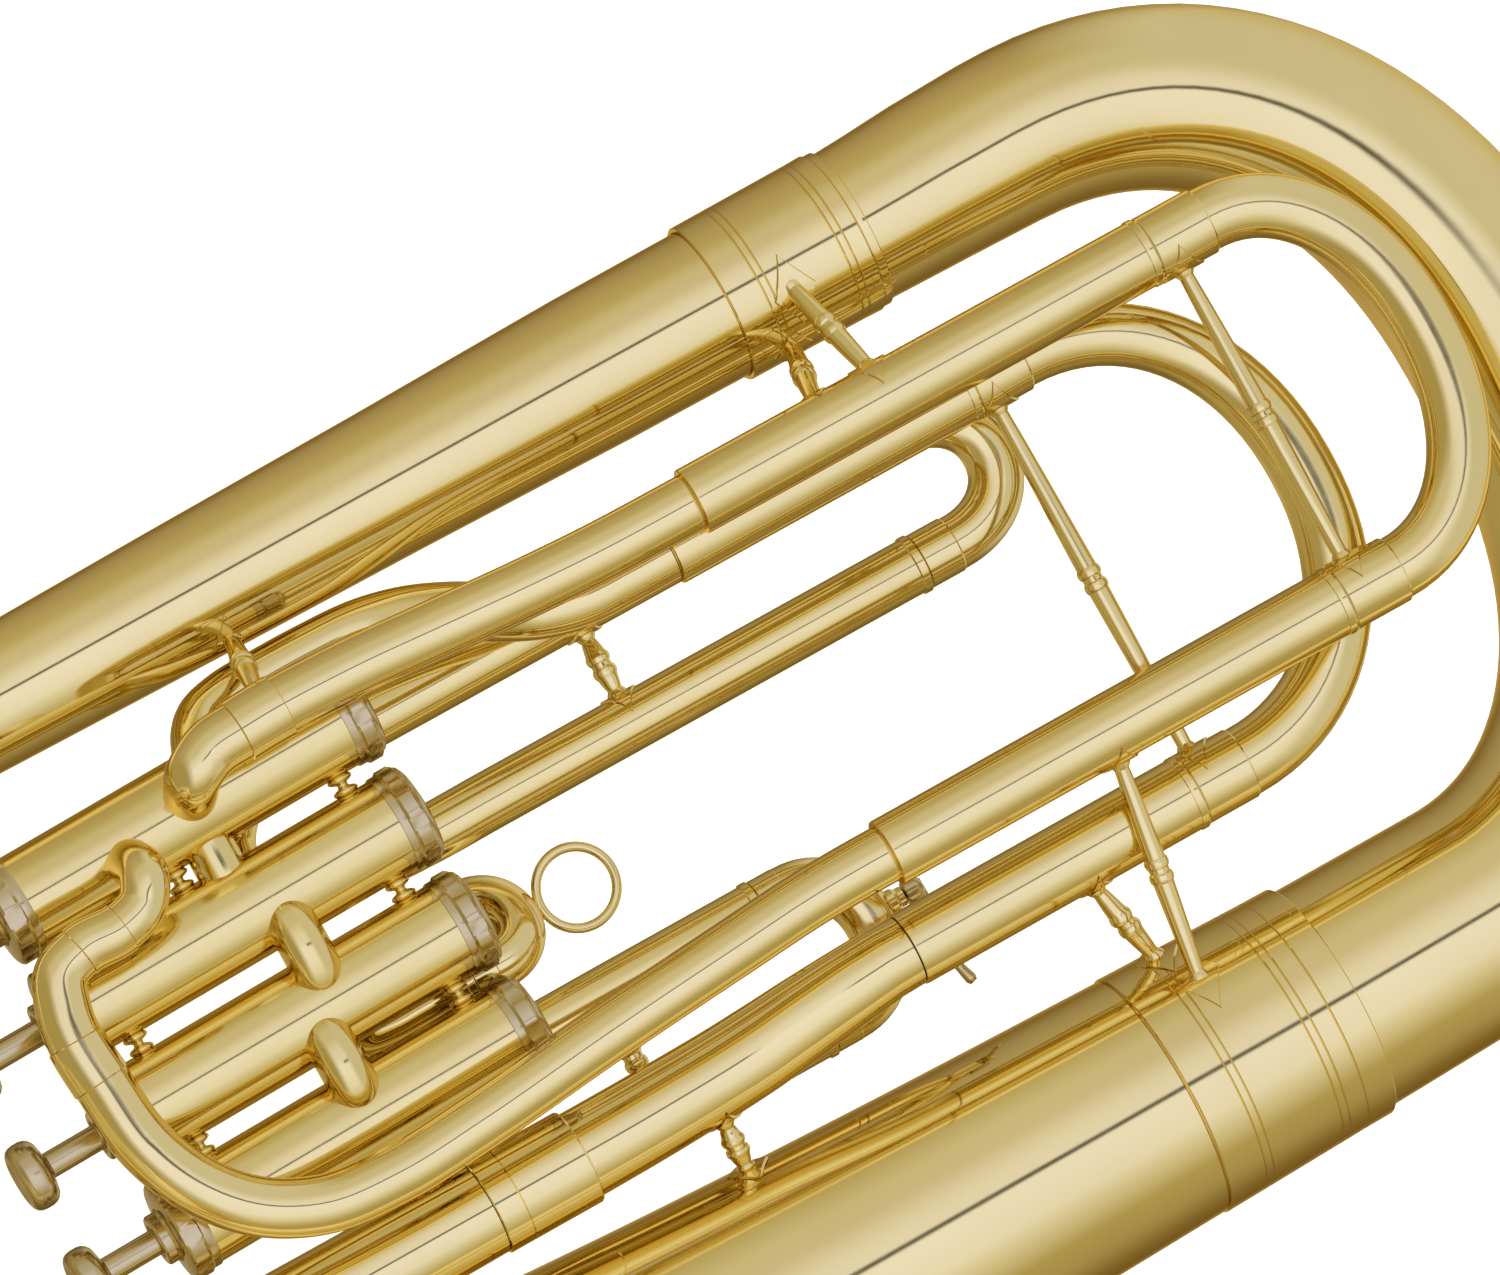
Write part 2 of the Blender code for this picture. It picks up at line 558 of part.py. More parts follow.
def add_second_slide(rooms):
    left = (-4.0, 2.0)
    right = (13.0, 15.0)
    mouth = 342.0
    add_valve_tube("second_outer_left", [
        (*left, mouth), (*left, 355.0), (*left, 366.0), (-2.6, 0.4, 373.5), (3.2, -5.5, 377.5),
        (8.0, -12.0, 378.0),
    ], rooms[1], SECOND_R)
    add_valve_tube("second_outer_right", [
        (*right, mouth), (*right, 350.0), (13.0, 13.5, 357.0), (13.0, 8.0, 361.5),
        (12.5, -2.0, 362.0), (10.8, -12.0, 362.0),
    ], rooms[1], SECOND_R)
    middle = Vector(((left[0] + right[0]) / 2, (left[1] + right[1]) / 2, mouth))
    across = Vector((right[0] - left[0], right[1] - left[1], 0)) / 2
    top = 333.0
    drop = 9.6
    bow_r = SECOND_R - 0.2
    leg_r = SECOND_R - 1.2
    path = [middle - across + Vector((0, 0, 22.0)), middle - across - Vector((0, 0, 0.4))]
    radii = [leg_r, leg_r]
    steps = 8
    for i in range(steps + 1):
        angle = math.pi * i / steps
        point = middle - across * math.cos(angle)
        point.z = top - drop * math.sin(angle)
        path.append(point)
    path.insert(2, middle - across - Vector((0, 0, 0.9)))
    path.append(middle + across - Vector((0, 0, 0.9)))
    radii += [bow_r] * (steps + 3)
    path += [middle + across - Vector((0, 0, 0.4)), middle + across + Vector((0, 0, 7.5))]
    radii += [leg_r, leg_r]
    add_tube("second_slide", path, radii, SLIDE_BRASS, 0.55, 2, tuple(middle))

    ring_wire = 1.3
    ring_r = 10.3
    centre = metres((middle.x - 1.0, middle.y, top - drop - bow_r - FIT - ring_r - ring_wire))
    bpy.ops.mesh.primitive_torus_add(
        major_segments=20, minor_segments=6, major_radius=ring_r * MM, minor_radius=ring_wire * MM,
        location=centre, rotation=(math.pi / 2, 0, 0))
    ring = bpy.context.object
    ring.name = "second_slide_ring"
    ring.data.name = "second_slide_ring"
    ring.data.materials.append(SLIDE_BRASS)
    for group in list(ring.users_collection):
        group.objects.unlink(ring)
    PARTS.objects.link(ring)


def add_third_slide(rooms):
    add_valve_tube("third_outer_left", [
        (THIRD_LEFT_X, BACK_Y, THIRD_MOUTH_Z), (THIRD_LEFT_X, BACK_Y, 315.0),
        (THIRD_LEFT_X, BACK_Y, 335.0), (33.4, BACK_Y - 0.6, 344.5), (35.2, 1.5, 351.0),
        (37.0, -6.0, 353.5), (38.0, -12.0, 353.5),
    ], rooms[2], THIRD_R)
    add_valve_tube("third_outer_right", [
        (THIRD_RIGHT_X, BACK_Y, THIRD_MOUTH_Z), (THIRD_RIGHT_X, BACK_Y, 340.0),
        (THIRD_RIGHT_X, BACK_Y, 362.0), (61.5, BACK_Y, 373.5), (54.0, BACK_Y - 0.5, 379.0),
        (47.0, 0.0, 380.5), (41.0, -10.0, 380.5),
    ], rooms[2], THIRD_R)
    add_slide(
        "third_slide", THIRD_LEFT_X, THIRD_RIGHT_X, BACK_Y, THIRD_MOUTH_Z, 178.5, 19.3, 300.0,
        (THIRD_R - 0.3, THIRD_R - 0.3), THIRD_R - 1.1)


# ---- leadpipe, water key and braces -------------------------------------------------------------
def add_leadpipe(rooms):
    """From the mouthpiece receiver round the back of the bell to the first valve."""
    path = [
        (-24.0, -12.0, 379.0), (-34.0, -8.0, 379.0), (-40.5, -1.0, 380.0), (-48.0, 5.5, 382.0),
        (-58.0, 9.5, 386.0), (-69.5, 18.0, 392.0), (-79.5, 36.5, 402.0), (-98.5, 50.0, 415.0),
        (-120.5, 54.0, 429.0), (-142.5, 47.0, 443.0), (-160.5, 31.0, 456.0), (-169.5, 8.5, 468.0),
        (-169.0, -17.0, 478.0), (-157.5, -40.0, 487.0), (-138.5, -57.0, 495.0),
        (-117.0, -69.0, 502.0), (-98.0, -79.0, 510.0), (-84.0, -87.5, 520.0),
    ]
    radii = taper(len(path), 5.9, 5.2)
    cut(add_tube("leadpipe", path, radii, BRASS, WALL, 2), rooms[0])

    start = Vector(path[-1])
    along = (start - Vector(path[-2])).normalized()
    outline = [
        (7.9, 46.0), (8.6, 43.5), (8.6, 39.0), (7.4, 37.5), (7.0, 10.0), (7.8, 8.5), (7.8, 0.5),
        (5.6, 0.5), (5.6, 12.0), (6.1, 46.0),
    ]
    receiver = add_turned(
        "mouthpiece_receiver", outline, BRASS, 16, closed=True, at=tuple(start - along * 8))
    receiver.rotation_mode = "QUATERNION"
    receiver.rotation_quaternion = Vector((0, 0, 1)).rotation_difference(along)


def add_water_key():
    """A sprung lever under the first slide's crook. Its origin is on its hinge pin."""
    pivot = (-53.0, BACK_Y, 231.5)
    path = [
        Vector((-36.8, BACK_Y, 229.6)), Vector((-41.0, BACK_Y, 229.6)), Vector((-46.0, BACK_Y, 230.4)),
        Vector((-53.0, BACK_Y, 231.5)), Vector((-60.0, BACK_Y, 230.5)), Vector((-66.5, BACK_Y, 228.5)),
    ]
    add_tube("water_key", path, [3.4, 3.4, 1.6, 2.2, 1.6, 2.4], NICKEL, None, 2, pivot)


def add_rod(name, start, end, radius, material=BRASS):
    """A turned brace: a rod with a double ring at its middle and a wider foot at each end."""
    start = Vector(start)
    end = Vector(end)
    length = (end - start).length
    spots = [(0, 1.1), (1.2, 1.1), (2.0, 0.72), (length / 2 - 2.9, 1.0), (length / 2 - 2.5, 1.2)]
    outline = [(0, 0)] + [(radius * k, z) for z, k in spots]
    outline += [(radius * k, length - z) for z, k in reversed(spots)] + [(0, length)]
    outline.reverse()
    rod = add_turned(name, outline, material, 10, at=tuple(start))
    rod.rotation_mode = "QUATERNION"
    rod.rotation_quaternion = Vector((0, 0, 1)).rotation_difference((end - start).normalized())


def add_braces():
    left_r, right_r = MAIN_BOW_R
    add_rod(
        "main_slide_brace", (MAIN_LEFT_X + left_r + 0.4, MAIN_Y, MAIN_BRACE_Z),
        (MAIN_RIGHT_X - right_r - 0.4, MAIN_Y, MAIN_BRACE_Z), BRACE_R)
    reach = FOURTH_BOW_R + 0.4
    add_rod(
        "fourth_slide_brace", (FOURTH_LEFT_X + reach, FOURTH_Y, FOURTH_BRACE_Z),
        (FOURTH_RIGHT_X - reach, FOURTH_Y, FOURTH_BRACE_Z), BRACE_R)
    add_rod("bell_brace", (-81.6, -10.2, 188.6), (-61.2, -16.6, 194.4), BRACE_R)


def build():
    rooms = [add_valve(number) for number in (1, 2, 3, 4)]
    add_knuckles(rooms)
    add_bell()
    add_bottom_bow()
    add_outer_branch()
    add_top_bow()
    add_small_branch()
    add_main_slide()
    add_main_neck(rooms)
    add_fourth_loop(rooms)
    add_first_slide(rooms)
    add_second_slide(rooms)
    add_third_slide(rooms)
    add_leadpipe(rooms)
    add_water_key()
    add_braces()


build()
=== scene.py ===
import math

import bmesh
import bpy
from mathutils import Matrix, Vector


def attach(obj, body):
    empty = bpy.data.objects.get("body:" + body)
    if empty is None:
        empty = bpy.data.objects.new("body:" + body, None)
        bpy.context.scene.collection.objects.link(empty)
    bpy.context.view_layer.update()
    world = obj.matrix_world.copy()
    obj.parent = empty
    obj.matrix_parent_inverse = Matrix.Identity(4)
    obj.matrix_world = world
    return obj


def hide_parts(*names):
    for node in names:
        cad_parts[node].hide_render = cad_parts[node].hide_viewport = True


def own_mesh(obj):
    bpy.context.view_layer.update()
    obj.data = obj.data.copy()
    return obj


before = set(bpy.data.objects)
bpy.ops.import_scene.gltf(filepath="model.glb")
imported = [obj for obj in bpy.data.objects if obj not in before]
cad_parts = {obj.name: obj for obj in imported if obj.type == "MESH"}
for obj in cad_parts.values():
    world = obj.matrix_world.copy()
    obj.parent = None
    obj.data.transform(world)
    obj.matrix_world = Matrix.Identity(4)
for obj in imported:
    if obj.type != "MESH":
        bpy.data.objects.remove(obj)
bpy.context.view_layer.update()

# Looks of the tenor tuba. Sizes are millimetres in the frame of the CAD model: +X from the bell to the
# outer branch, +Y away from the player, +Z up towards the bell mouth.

MM = 0.001
SIDES = 40               # round the slides and small tubes
BIG_SIDES = 72           # round the bows and branches
BODY = "instrument"

# ---- layout, as in the CAD model -------------------------
BELL_X = -114.4
BRANCH_X = 115.1
BRANCH_TOP_X = 114.4
VALVE_Y = -15.0
MAIN_Y = -20.0
FOURTH_Y = -38.0
BACK_Y = 6.0
SMALL_Y = -14.0
IN_X = -55.25
VALVE_PITCH = 29.6
FIRST_VALVE_X = -21.1
VALVE_MID_Z = 388.0
LEAN = math.radians(-1.36)
CASING_R = 12.5
CASING_TOP = 49.5        # heights along a valve are counted from its middle
CASING_BOTTOM = -49.0
CASING_WALL = 1.0
CAP_TEETH = 8
CAP_CUT = 0.6            # depth between the teeth
SPRING_LOW = -48.4
SPRING_HIGH = 3.1
SPRING_R = 8.0
SPRING_WIRE_R = 0.55
SPRING_TURNS = 7
KNUCKLE_R = 6.4
MAIN_X = (-50.4, 65.5)
FOURTH_X = (-26.35, 73.3)
FIRST_X = (-58.1, -23.5)
THIRD_X = (32.85, 65.0)
SLIDE_FULLNESS = 0.94    # 1 bends a slide in half an ellipse, less makes its bend squarer
UP = Vector((0, 0, 1))
NOTCH = (0, 0, 0, 0, 0, 0, 0, 0.5, 1.0, 1.0, 1.0, 0.5)   # share of the depth, across one tooth of a cap


# ---- materials -------------------------------------------
def add_ramp(nodes, stops):
    """A colour ramp through (position, colour) stops."""
    ramp = nodes.new("ShaderNodeValToRGB")
    marks = ramp.color_ramp.elements
    while len(marks) < len(stops):
        marks.new(1.0)
    for mark, (place, colour) in zip(marks, stops):
        mark.position = place
        mark.color = (*colour, 1.0)
    return ramp


def add_noise(nodes, links, place, scale, detail):
    noise = nodes.new("ShaderNodeTexNoise")
    noise.inputs["Scale"].default_value = scale
    noise.inputs["Detail"].default_value = detail
    links.new(place.outputs["Object"], noise.inputs["Vector"])
    return noise.outputs["Fac"]


def metal(name, colour, edge, roughness, coat, mottling, ripple):
    """Polished metal. mottling shifts its colour and gloss a little, ripple bends its reflections."""
    material = bpy.data.materials.new(name)
    material.use_nodes = True
    nodes = material.node_tree.nodes
    links = material.node_tree.links
    shader = nodes["Principled BSDF"]
    shader.inputs["Metallic"].default_value = 1.0
    shader.inputs["Specular Tint"].default_value = (*edge, 1.0)
    shader.inputs["Coat Weight"].default_value = coat
    shader.inputs["Coat Roughness"].default_value = 0.04
    place = nodes.new("ShaderNodeTexCoord")

    tone = add_ramp(nodes, (
        (0.25, [c * (1 - mottling) for c in colour]),
        (0.75, [min(1.0, c * (1 + mottling)) for c in colour])))
    links.new(add_noise(nodes, links, place, 22.0, 4.0), tone.inputs["Fac"])
    links.new(tone.outputs["Color"], shader.inputs["Base Color"])

    gloss = nodes.new("ShaderNodeMapRange")
    gloss.inputs["From Min"].default_value = 0.35
    gloss.inputs["From Max"].default_value = 0.75
    gloss.inputs["To Min"].default_value = roughness
    gloss.inputs["To Max"].default_value = roughness * 1.3
    links.new(add_noise(nodes, links, place, 260.0, 6.0), gloss.inputs["Value"])
    links.new(gloss.outputs["Result"], shader.inputs["Roughness"])

    bump = nodes.new("ShaderNodeBump")
    bump.inputs["Strength"].default_value = ripple
    bump.inputs["Distance"].default_value = 0.001
    links.new(add_noise(nodes, links, place, 34.0, 1.0), bump.inputs["Height"])
    links.new(bump.outputs["Normal"], shader.inputs["Normal"])
    return material


BRASS_EDGE = (0.90, 0.72, 0.36)
BRASS = metal("lacquered_brass_look", (0.90, 0.76, 0.35), BRASS_EDGE, 0.065, 0.10, 0.03, 0.03)
VALVE_BRASS = metal("valve_brass_look", (0.89, 0.745, 0.32), BRASS_EDGE, 0.09, 0.08, 0.03, 0.02)
SLIDE_BRASS = metal("slide_brass_look", (0.90, 0.76, 0.345), BRASS_EDGE, 0.09, 0.08, 0.03, 0.02)
NICKEL = metal("nickel_look", (0.66, 0.55, 0.31), (0.72, 0.66, 0.48), 0.15, 0.0, 0.05, 0.05)
STEEL = metal("spring_steel_look", (0.55, 0.55, 0.56), (0.8, 0.8, 0.8), 0.25, 0.0, 0.08, 0.05)


# ---- shapes ----------------------------------------------
def add_piece(name, bm, material, body=BODY, nodes=(), sharp=35):
    """The finished mesh as a piece that rides on a body and may stand for CAD nodes."""
    bmesh.ops.remove_doubles(bm, verts=bm.verts, dist=1e-7)
    bmesh.ops.recalc_face_normals(bm, faces=bm.faces)
    mesh = bpy.data.meshes.new(name)
    bm.to_mesh(mesh)
    bm.free()
    mesh.materials.append(material)
    mesh.shade_smooth()
    mesh.set_sharp_from_angle(angle=math.radians(sharp))
    piece = bpy.data.objects.new(name, mesh)
    bpy.context.scene.collection.objects.link(piece)
    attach(piece, body)
    if nodes:
        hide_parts(*nodes)


def bridge(bm, ring, after):
    """Faces between two rings of the same number of points."""
    count = len(ring)
    for i in range(count):
        j = (i + 1) % count
        bm.faces.new((ring[i], ring[j], after[j], after[i]))


def smooth(stations, steps=8):
    """Points on a curve through (x, y, z, radius) stations, as (centre, radius) pairs."""
    knots = [Vector(s[:3]) for s in stations]
    spans = [(b - a).length for a, b in zip(knots, knots[1:])]
    last = len(knots) - 1
    slopes = [(knots[1] - knots[0]) / spans[0]]
    for i in range(1, last):
        before = (knots[i] - knots[i - 1]) / spans[i - 1]
        after = (knots[i + 1] - knots[i]) / spans[i]
        slopes.append((before * spans[i] + after * spans[i - 1]) / (spans[i] + spans[i - 1]))
    slopes.append((knots[last] - knots[last - 1]) / spans[-1])
    path = []
    for i in range(last):
        for k in range(steps):
            t = k / steps
            centre = (
                knots[i] * (2 * t ** 3 - 3 * t * t + 1)
                + slopes[i] * spans[i] * (t ** 3 - 2 * t * t + t)
                + knots[i + 1] * (3 * t * t - 2 * t ** 3)
                + slopes[i + 1] * spans[i] * (t ** 3 - t * t)
            )
            path.append((centre, stations[i][3] + (stations[i + 1][3] - stations[i][3]) * t))
    path.append((knots[last], stations[last][3]))
    return path


def directions(path):
    """The direction of travel at each point of a path of (centre, radius) pairs."""
    found = []
    last = len(path) - 1
    for i in range(last + 1):
        step = path[min(i + 1, last)][0] - path[max(i - 1, 0)][0]
        found.append(step.normalized())
    return found


def cross_sections(path):
    """A pair of unit vectors across the path at each of its points, carried along without twist."""
    along = directions(path)
    across = along[0].orthogonal().normalized()
    found = []
    for direction in along:
        across = (across - direction * across.dot(direction)).normalized()
        found.append((across, direction.cross(across)))
    return found


def ring_points(centre, pair, radius, sides):
    return [
        centre + (pair[0] * math.cos(2 * math.pi * k / sides)
                  + pair[1] * math.sin(2 * math.pi * k / sides)) * radius
        for k in range(sides)
    ]


def valve_axis(number):
    """A point on a valve's axis and the direction of the axis."""
    at = Vector((FIRST_VALVE_X + VALVE_PITCH * (number - 1), VALVE_Y, VALVE_MID_Z))
    return at, Vector((math.sin(LEAN), 0, math.cos(LEAN)))


def onto_casing(point, direction, number):
    """Where a line from point along direction first meets the wall of a valve casing."""
    wall_r = CASING_R - CASING_WALL / 2
    at, up = valve_axis(number)
    away = point - at
    away -= up * away.dot(up)
    flat = direction - up * direction.dot(up)
    a = flat.dot(flat)
    b = away.dot(flat)
    c = away.dot(away) - wall_r ** 2
    return point + direction * ((-b - math.sqrt(max(b * b - a * c, 0.0))) / a)


def clear_of_casing(path, number):
    """The part of a path that starts outside a valve casing."""
    at, up = valve_axis(number)

    def reach(centre):
        away = centre - at
        return (away - up * away.dot(up)).length

    first = next(i for i, point in enumerate(path) if reach(point[0]) > CASING_R + 0.8)
    return path[first:]


def add_pipe(name, path, material, body=BODY, nodes=(), sides=SIDES, wall=0.6, casing=None):
    """A tube along a path of (centre, radius) pairs. Its ends are open for a short way. With casing, the
    start of the path ends on that valve's casing."""
    if casing:
        path = clear_of_casing(path, casing)
    pairs = cross_sections(path)
    along = directions(path)
    bm = bmesh.new()
    rings = []
    for (centre, radius), pair in zip(path, pairs):
        points = ring_points(centre, pair, radius, sides)
        rings.append([bm.verts.new(p * MM) for p in points])
    for ring, after in zip(rings, rings[1:]):
        bridge(bm, ring, after)
    for end in (0, -1):
        centre, radius = path[end]
        inward = along[end] if end == 0 else -along[end]
        if end == 0 and casing:
            points = ring_points(centre, pairs[0], radius, sides)
            mouth = [bm.verts.new(onto_casing(p, -inward, casing) * MM) for p in points]
            bridge(bm, rings[0], mouth)
            fan(bm, mouth, onto_casing(centre, -inward, casing))
            continue
        lip = ring_points(centre, pairs[end], radius - wall, sides)
        deep = [p + inward * radius * 1.5 for p in lip]
        lip = [bm.verts.new(p * MM) for p in lip]
        deep = [bm.verts.new(p * MM) for p in deep]
        bridge(bm, rings[end], lip)
        bridge(bm, lip, deep)
        fan(bm, deep, centre + inward * radius * 1.5)
    add_piece(name, bm, material, body, nodes)
    return path


def fan(bm, ring, middle):
    """Faces from a ring to a point in its middle."""
    hub = bm.verts.new(middle * MM)
    for i, vert in enumerate(ring):
        bm.faces.new((vert, ring[(i + 1) % len(ring)], hub))


def add_band(name, path, start, end, material, extra=0.45, body=BODY, sides=SIDES, edge=0.3):
    """A thin sleeve round a pipe's path, between the points nearest to start and end."""
    def nearest(target):
        return min(range(len(path)), key=lambda i: (path[i][0] - Vector(target)).length)

    low, high = sorted((nearest(start), nearest(end)))
    part = path[low:high + 1]
    first, last = part[0], part[-1]
    along = directions(part)
    part = [(first[0] - along[0] * edge, first[1])] + part + [(last[0] + along[-1] * edge, last[1])]
    pairs = cross_sections(part)
    bm = bmesh.new()
    outer = []
    for i, ((centre, radius), pair) in enumerate(zip(part, pairs)):
        rise = 0.05 if i in (0, len(part) - 1) else extra
        outer.append([bm.verts.new(p * MM) for p in ring_points(centre, pair, radius + rise, sides)])
    for ring, after in zip(outer, outer[1:]):
        bridge(bm, ring, after)
    inner = []
    for i in (0, len(part) - 1):
        centre, radius = part[i]
        inner.append([bm.verts.new(p * MM) for p in ring_points(centre, pairs[i], radius - 0.2, sides)])
    bridge(bm, outer[0], inner[0])
    bridge(bm, outer[-1], inner[1])
    close_inside(bm, part, pairs, inner, sides)
    add_piece(name, bm, material, body)


def close_inside(bm, part, pairs, ends, sides):
    """The inner wall of a band, which follows its path."""
    rings = [ends[0]]
    for (centre, radius), pair in list(zip(part, pairs))[1:-1]:
        rings.append([bm.verts.new(p * MM) for p in ring_points(centre, pair, radius - 0.2, sides)])
    rings.append(ends[1])
    for ring, after in zip(rings, rings[1:]):
        bridge(bm, ring, after)


def add_turned(name, outline, material, at=(0, 0, 0), up=UP, body=BODY, nodes=(), sides=64,
               closed=False, notches=None, sharp=30):
    """A turned piece. outline is (radius, height) pairs, and closed joins its end to its start. notches
    is (low, high, count, depth) for a band of cut edges."""
    base = Vector(at)
    turn = UP.rotation_difference(Vector(up).normalized())
    if notches:
        sides = notches[2] * len(NOTCH)
    bm = bmesh.new()
    rings = []
    for radius, height in outline:
        if radius < 1e-6:
            rings.append([bm.verts.new((base + turn @ Vector((0, 0, height))) * MM)])
            continue
        ring = []
        for k in range(sides):
            r = radius
            if notches and notches[0] <= height <= notches[1]:
                r -= notches[3] * NOTCH[k % len(NOTCH)]
            angle = 2 * math.pi * k / sides
            ring.append(bm.verts.new(
                (base + turn @ Vector((r * math.cos(angle), r * math.sin(angle), height))) * MM))
        rings.append(ring)
    if closed:
        rings.append(rings[0])
    for ring, after in zip(rings, rings[1:]):
        if len(ring) == 1 and len(after) == 1:
            continue
        if len(ring) == 1:
            for i in range(sides):
                bm.faces.new((after[i], after[(i + 1) % sides], ring[0]))
        elif len(after) == 1:
            for i in range(sides):
                bm.faces.new((ring[i], ring[(i + 1) % sides], after[0]))
        else:
            bridge(bm, ring, after)
    add_piece(name, bm, material, body, nodes, sharp)


def add_flange(name, centre, toward, radius, half_length, half_width, body=BODY):
    """A pointed plate that lies on an upright tube where a brace is soldered to it. half_length runs
    along the tube and half_width round it."""
    centre = Vector(centre)
    out = Vector(toward).normalized()
    side = UP.cross(out)
    rows, columns = 16, 6
    bm = bmesh.new()

    def layer(rise, shrink):
        grid = []
        for i in range(rows + 1):
            w = -1 + 2 * i / rows
            reach = (1 - abs(w)) ** 1.15
            angle = w * half_width * shrink / radius
            row = []
            for j in range(columns + 1):
                a = (-1 + 2 * j / columns) * half_length * reach * shrink
                spot = centre + UP * a + (
                    out * math.cos(angle) + side * math.sin(angle)) * (radius + rise)
                row.append(bm.verts.new(spot * MM))
            grid.append(row)
        return grid

    top = layer(0.5, 0.94)
    bottom = layer(-0.15, 1.0)
    for i in range(rows):
        for j in range(columns):
            for grid in (top, bottom):
                corners = (grid[i][j], grid[i][j + 1], grid[i + 1][j + 1], grid[i + 1][j])
                bm.faces.new(corners)
        for j in (0, columns):
            bm.faces.new((top[i][j], top[i + 1][j], bottom[i + 1][j], bottom[i][j]))
    bmesh.ops.remove_doubles(bm, verts=bm.verts, dist=1e-6)
    bmesh.ops.dissolve_degenerate(bm, edges=bm.edges, dist=1e-7)
    add_piece(name, bm, BRASS, body, sharp=25)


def mirrored(side, length):
    """The outline of a turned stay from one half of it, as (height, radius) pairs."""
    outline = [(0.0, 0.0)] + [(r, z) for z, r in side]
    return outline + [(r, length - z) for z, r in reversed(side)] + [(0.0, length)]


def add_brace(name, start, end, body=BODY, nodes=(), thin=1.95, thick=2.75, material=BRASS):
    """A turned brace, thicker in the middle, with a double ring there."""
    start = Vector(start)
    end = Vector(end)
    length = (end - start).length
    half = length / 2
    foot = min(1.8, half / 3)
    bead = min(1.1, half / 8)
    side = [(0.0, thin + 0.9), (foot * 0.4, thin + 0.7), (foot, thin)]
    for i in range(1, 6):
        side.append((foot + (half - 3 * bead - foot) * i / 5, thin + (thick - thin) * (i / 5) ** 0.8))
    side += [
        (half - 2.5 * bead, thick + 0.35), (half - 1.7 * bead, thick + 0.5),
        (half - 0.9 * bead, thick + 0.3), (half - 0.5 * bead, thick - 0.1),
    ]
    add_turned(
        name, mirrored(side, length), material, start, end - start, body, nodes, 28, sharp=28)


def add_spool(name, start, end):
    """A knobbed stay between two valve casings: a button at each casing and a thin neck."""
    length = (end - start).length
    side = [
        (0.0, 2.4), (0.4, 3.1), (0.9, 3.4), (1.4, 3.2), (1.8, 2.5), (2.05, 1.7), (length * 0.45, 1.4)]
    add_turned(
        name, mirrored(side, length), VALVE_BRASS, start, end - start, sides=28, sharp=60)


# ---- valves ----------------------------------------------
def on_valve(number, height):
    at, up = valve_axis(number)
    return at + up * height


def add_valve(number):
    """A casing with its two caps, and the piston with its stem and button."""
    at, up = valve_axis(number)
    bore = CASING_R - CASING_WALL
    add_turned(f"casing_{number}", [
        (bore + 0.4, CASING_TOP), (CASING_R - 0.2, CASING_TOP), (CASING_R, CASING_TOP - 0.4),
        (CASING_R, CASING_TOP - 3.0), (CASING_R, CASING_BOTTOM + 4.0),
        (CASING_R, CASING_BOTTOM + 0.4), (CASING_R - 0.2, CASING_BOTTOM), (bore, CASING_BOTTOM),
        (bore, CASING_TOP),
    ], VALVE_BRASS, at, up, nodes=(f"valve_{number}_casing",), closed=True)
    add_turned(f"top_cap_{number}", [
        (3.9, 56.4), (4.7, 57.0), (6.3, 57.0), (6.8, 56.5), (6.8, 54.4), (7.6, 53.6), (12.3, 53.2),
        (13.1, 52.8), (13.6, 52.2), (13.6, 48.6), (13.2, 48.1), (12.95, 47.7), (12.95, 45.8),
        (12.8, 45.5), (12.55, 45.5), (12.55, 49.8), (3.9, 49.8),
    ], NICKEL, at, up, nodes=(f"valve_{number}_top_cap",), closed=True,
        notches=(48.3, 52.4, CAP_TEETH, CAP_CUT))
    add_turned(f"bottom_cap_{number}", [
        (12.55, -44.9), (12.8, -44.9), (12.95, -45.2), (12.95, -46.9), (13.2, -47.3), (13.6, -47.7),
        (13.6, -51.0), (13.1, -51.5), (12.7, -51.8), (12.3, -52.6), (11.2, -53.2), (8.2, -53.8),
        (5.2, -54.3), (2.4, -54.7), (1.7, -54.4), (1.5, -53.8), (1.5, -50.6), (11.4, -49.4),
        (12.55, -49.4),
    ], NICKEL, at, up, nodes=(f"valve_{number}_bottom_cap",), closed=True,
        notches=(-51.2, -47.5, CAP_TEETH, CAP_CUT))
    body = f"piston_{number}"
    add_turned(f"stem_and_piston_{number}", [
        (0, 71.5), (3.0, 71.5), (3.4, 71.1), (3.4, 42.6), (9.4, 42.0), (10.2, 41.8), (11.0, 41.0),
        (11.0, -21.6), (10.6, -22.0), (10.1, -22.0), (10.1, 4.0), (0, 4.0),
    ], NICKEL, at, up, body, (f"valve_{number}_piston",), 48)
    add_turned(f"button_{number}", [
        (0, 79.0), (4.6, 79.1), (5.6, 79.6), (6.5, 79.8), (7.5, 79.5), (8.3, 78.9), (8.8, 78.0),
        (9.0, 76.8), (9.0, 75.0), (8.7, 73.8), (8.1, 72.9), (7.2, 72.2), (5.2, 71.7), (3.8, 71.6),
        (0, 71.6),
    ], NICKEL, at, up, body, (f"valve_{number}_button",), 56, sharp=50)


def add_spring(number):
    """The return spring under a piston."""
    at, up = valve_axis(number)
    turn = UP.rotation_difference(up)
    length = SPRING_HIGH - SPRING_LOW
    per_turn = 20
    last = SPRING_TURNS * per_turn
    path = []
    for i in range(last + 1):
        angle = 2 * math.pi * i / per_turn
        height = SPRING_LOW + length * i / last
        spot = Vector((SPRING_R * math.cos(angle), SPRING_R * math.sin(angle), height))
        path.append((at + turn @ spot, SPRING_WIRE_R))
    name = f"spring_{number}"
    add_pipe(name, path, STEEL, nodes=(f"valve_{number}_spring",), sides=10, wall=0.3)
    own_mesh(bpy.data.objects[name])


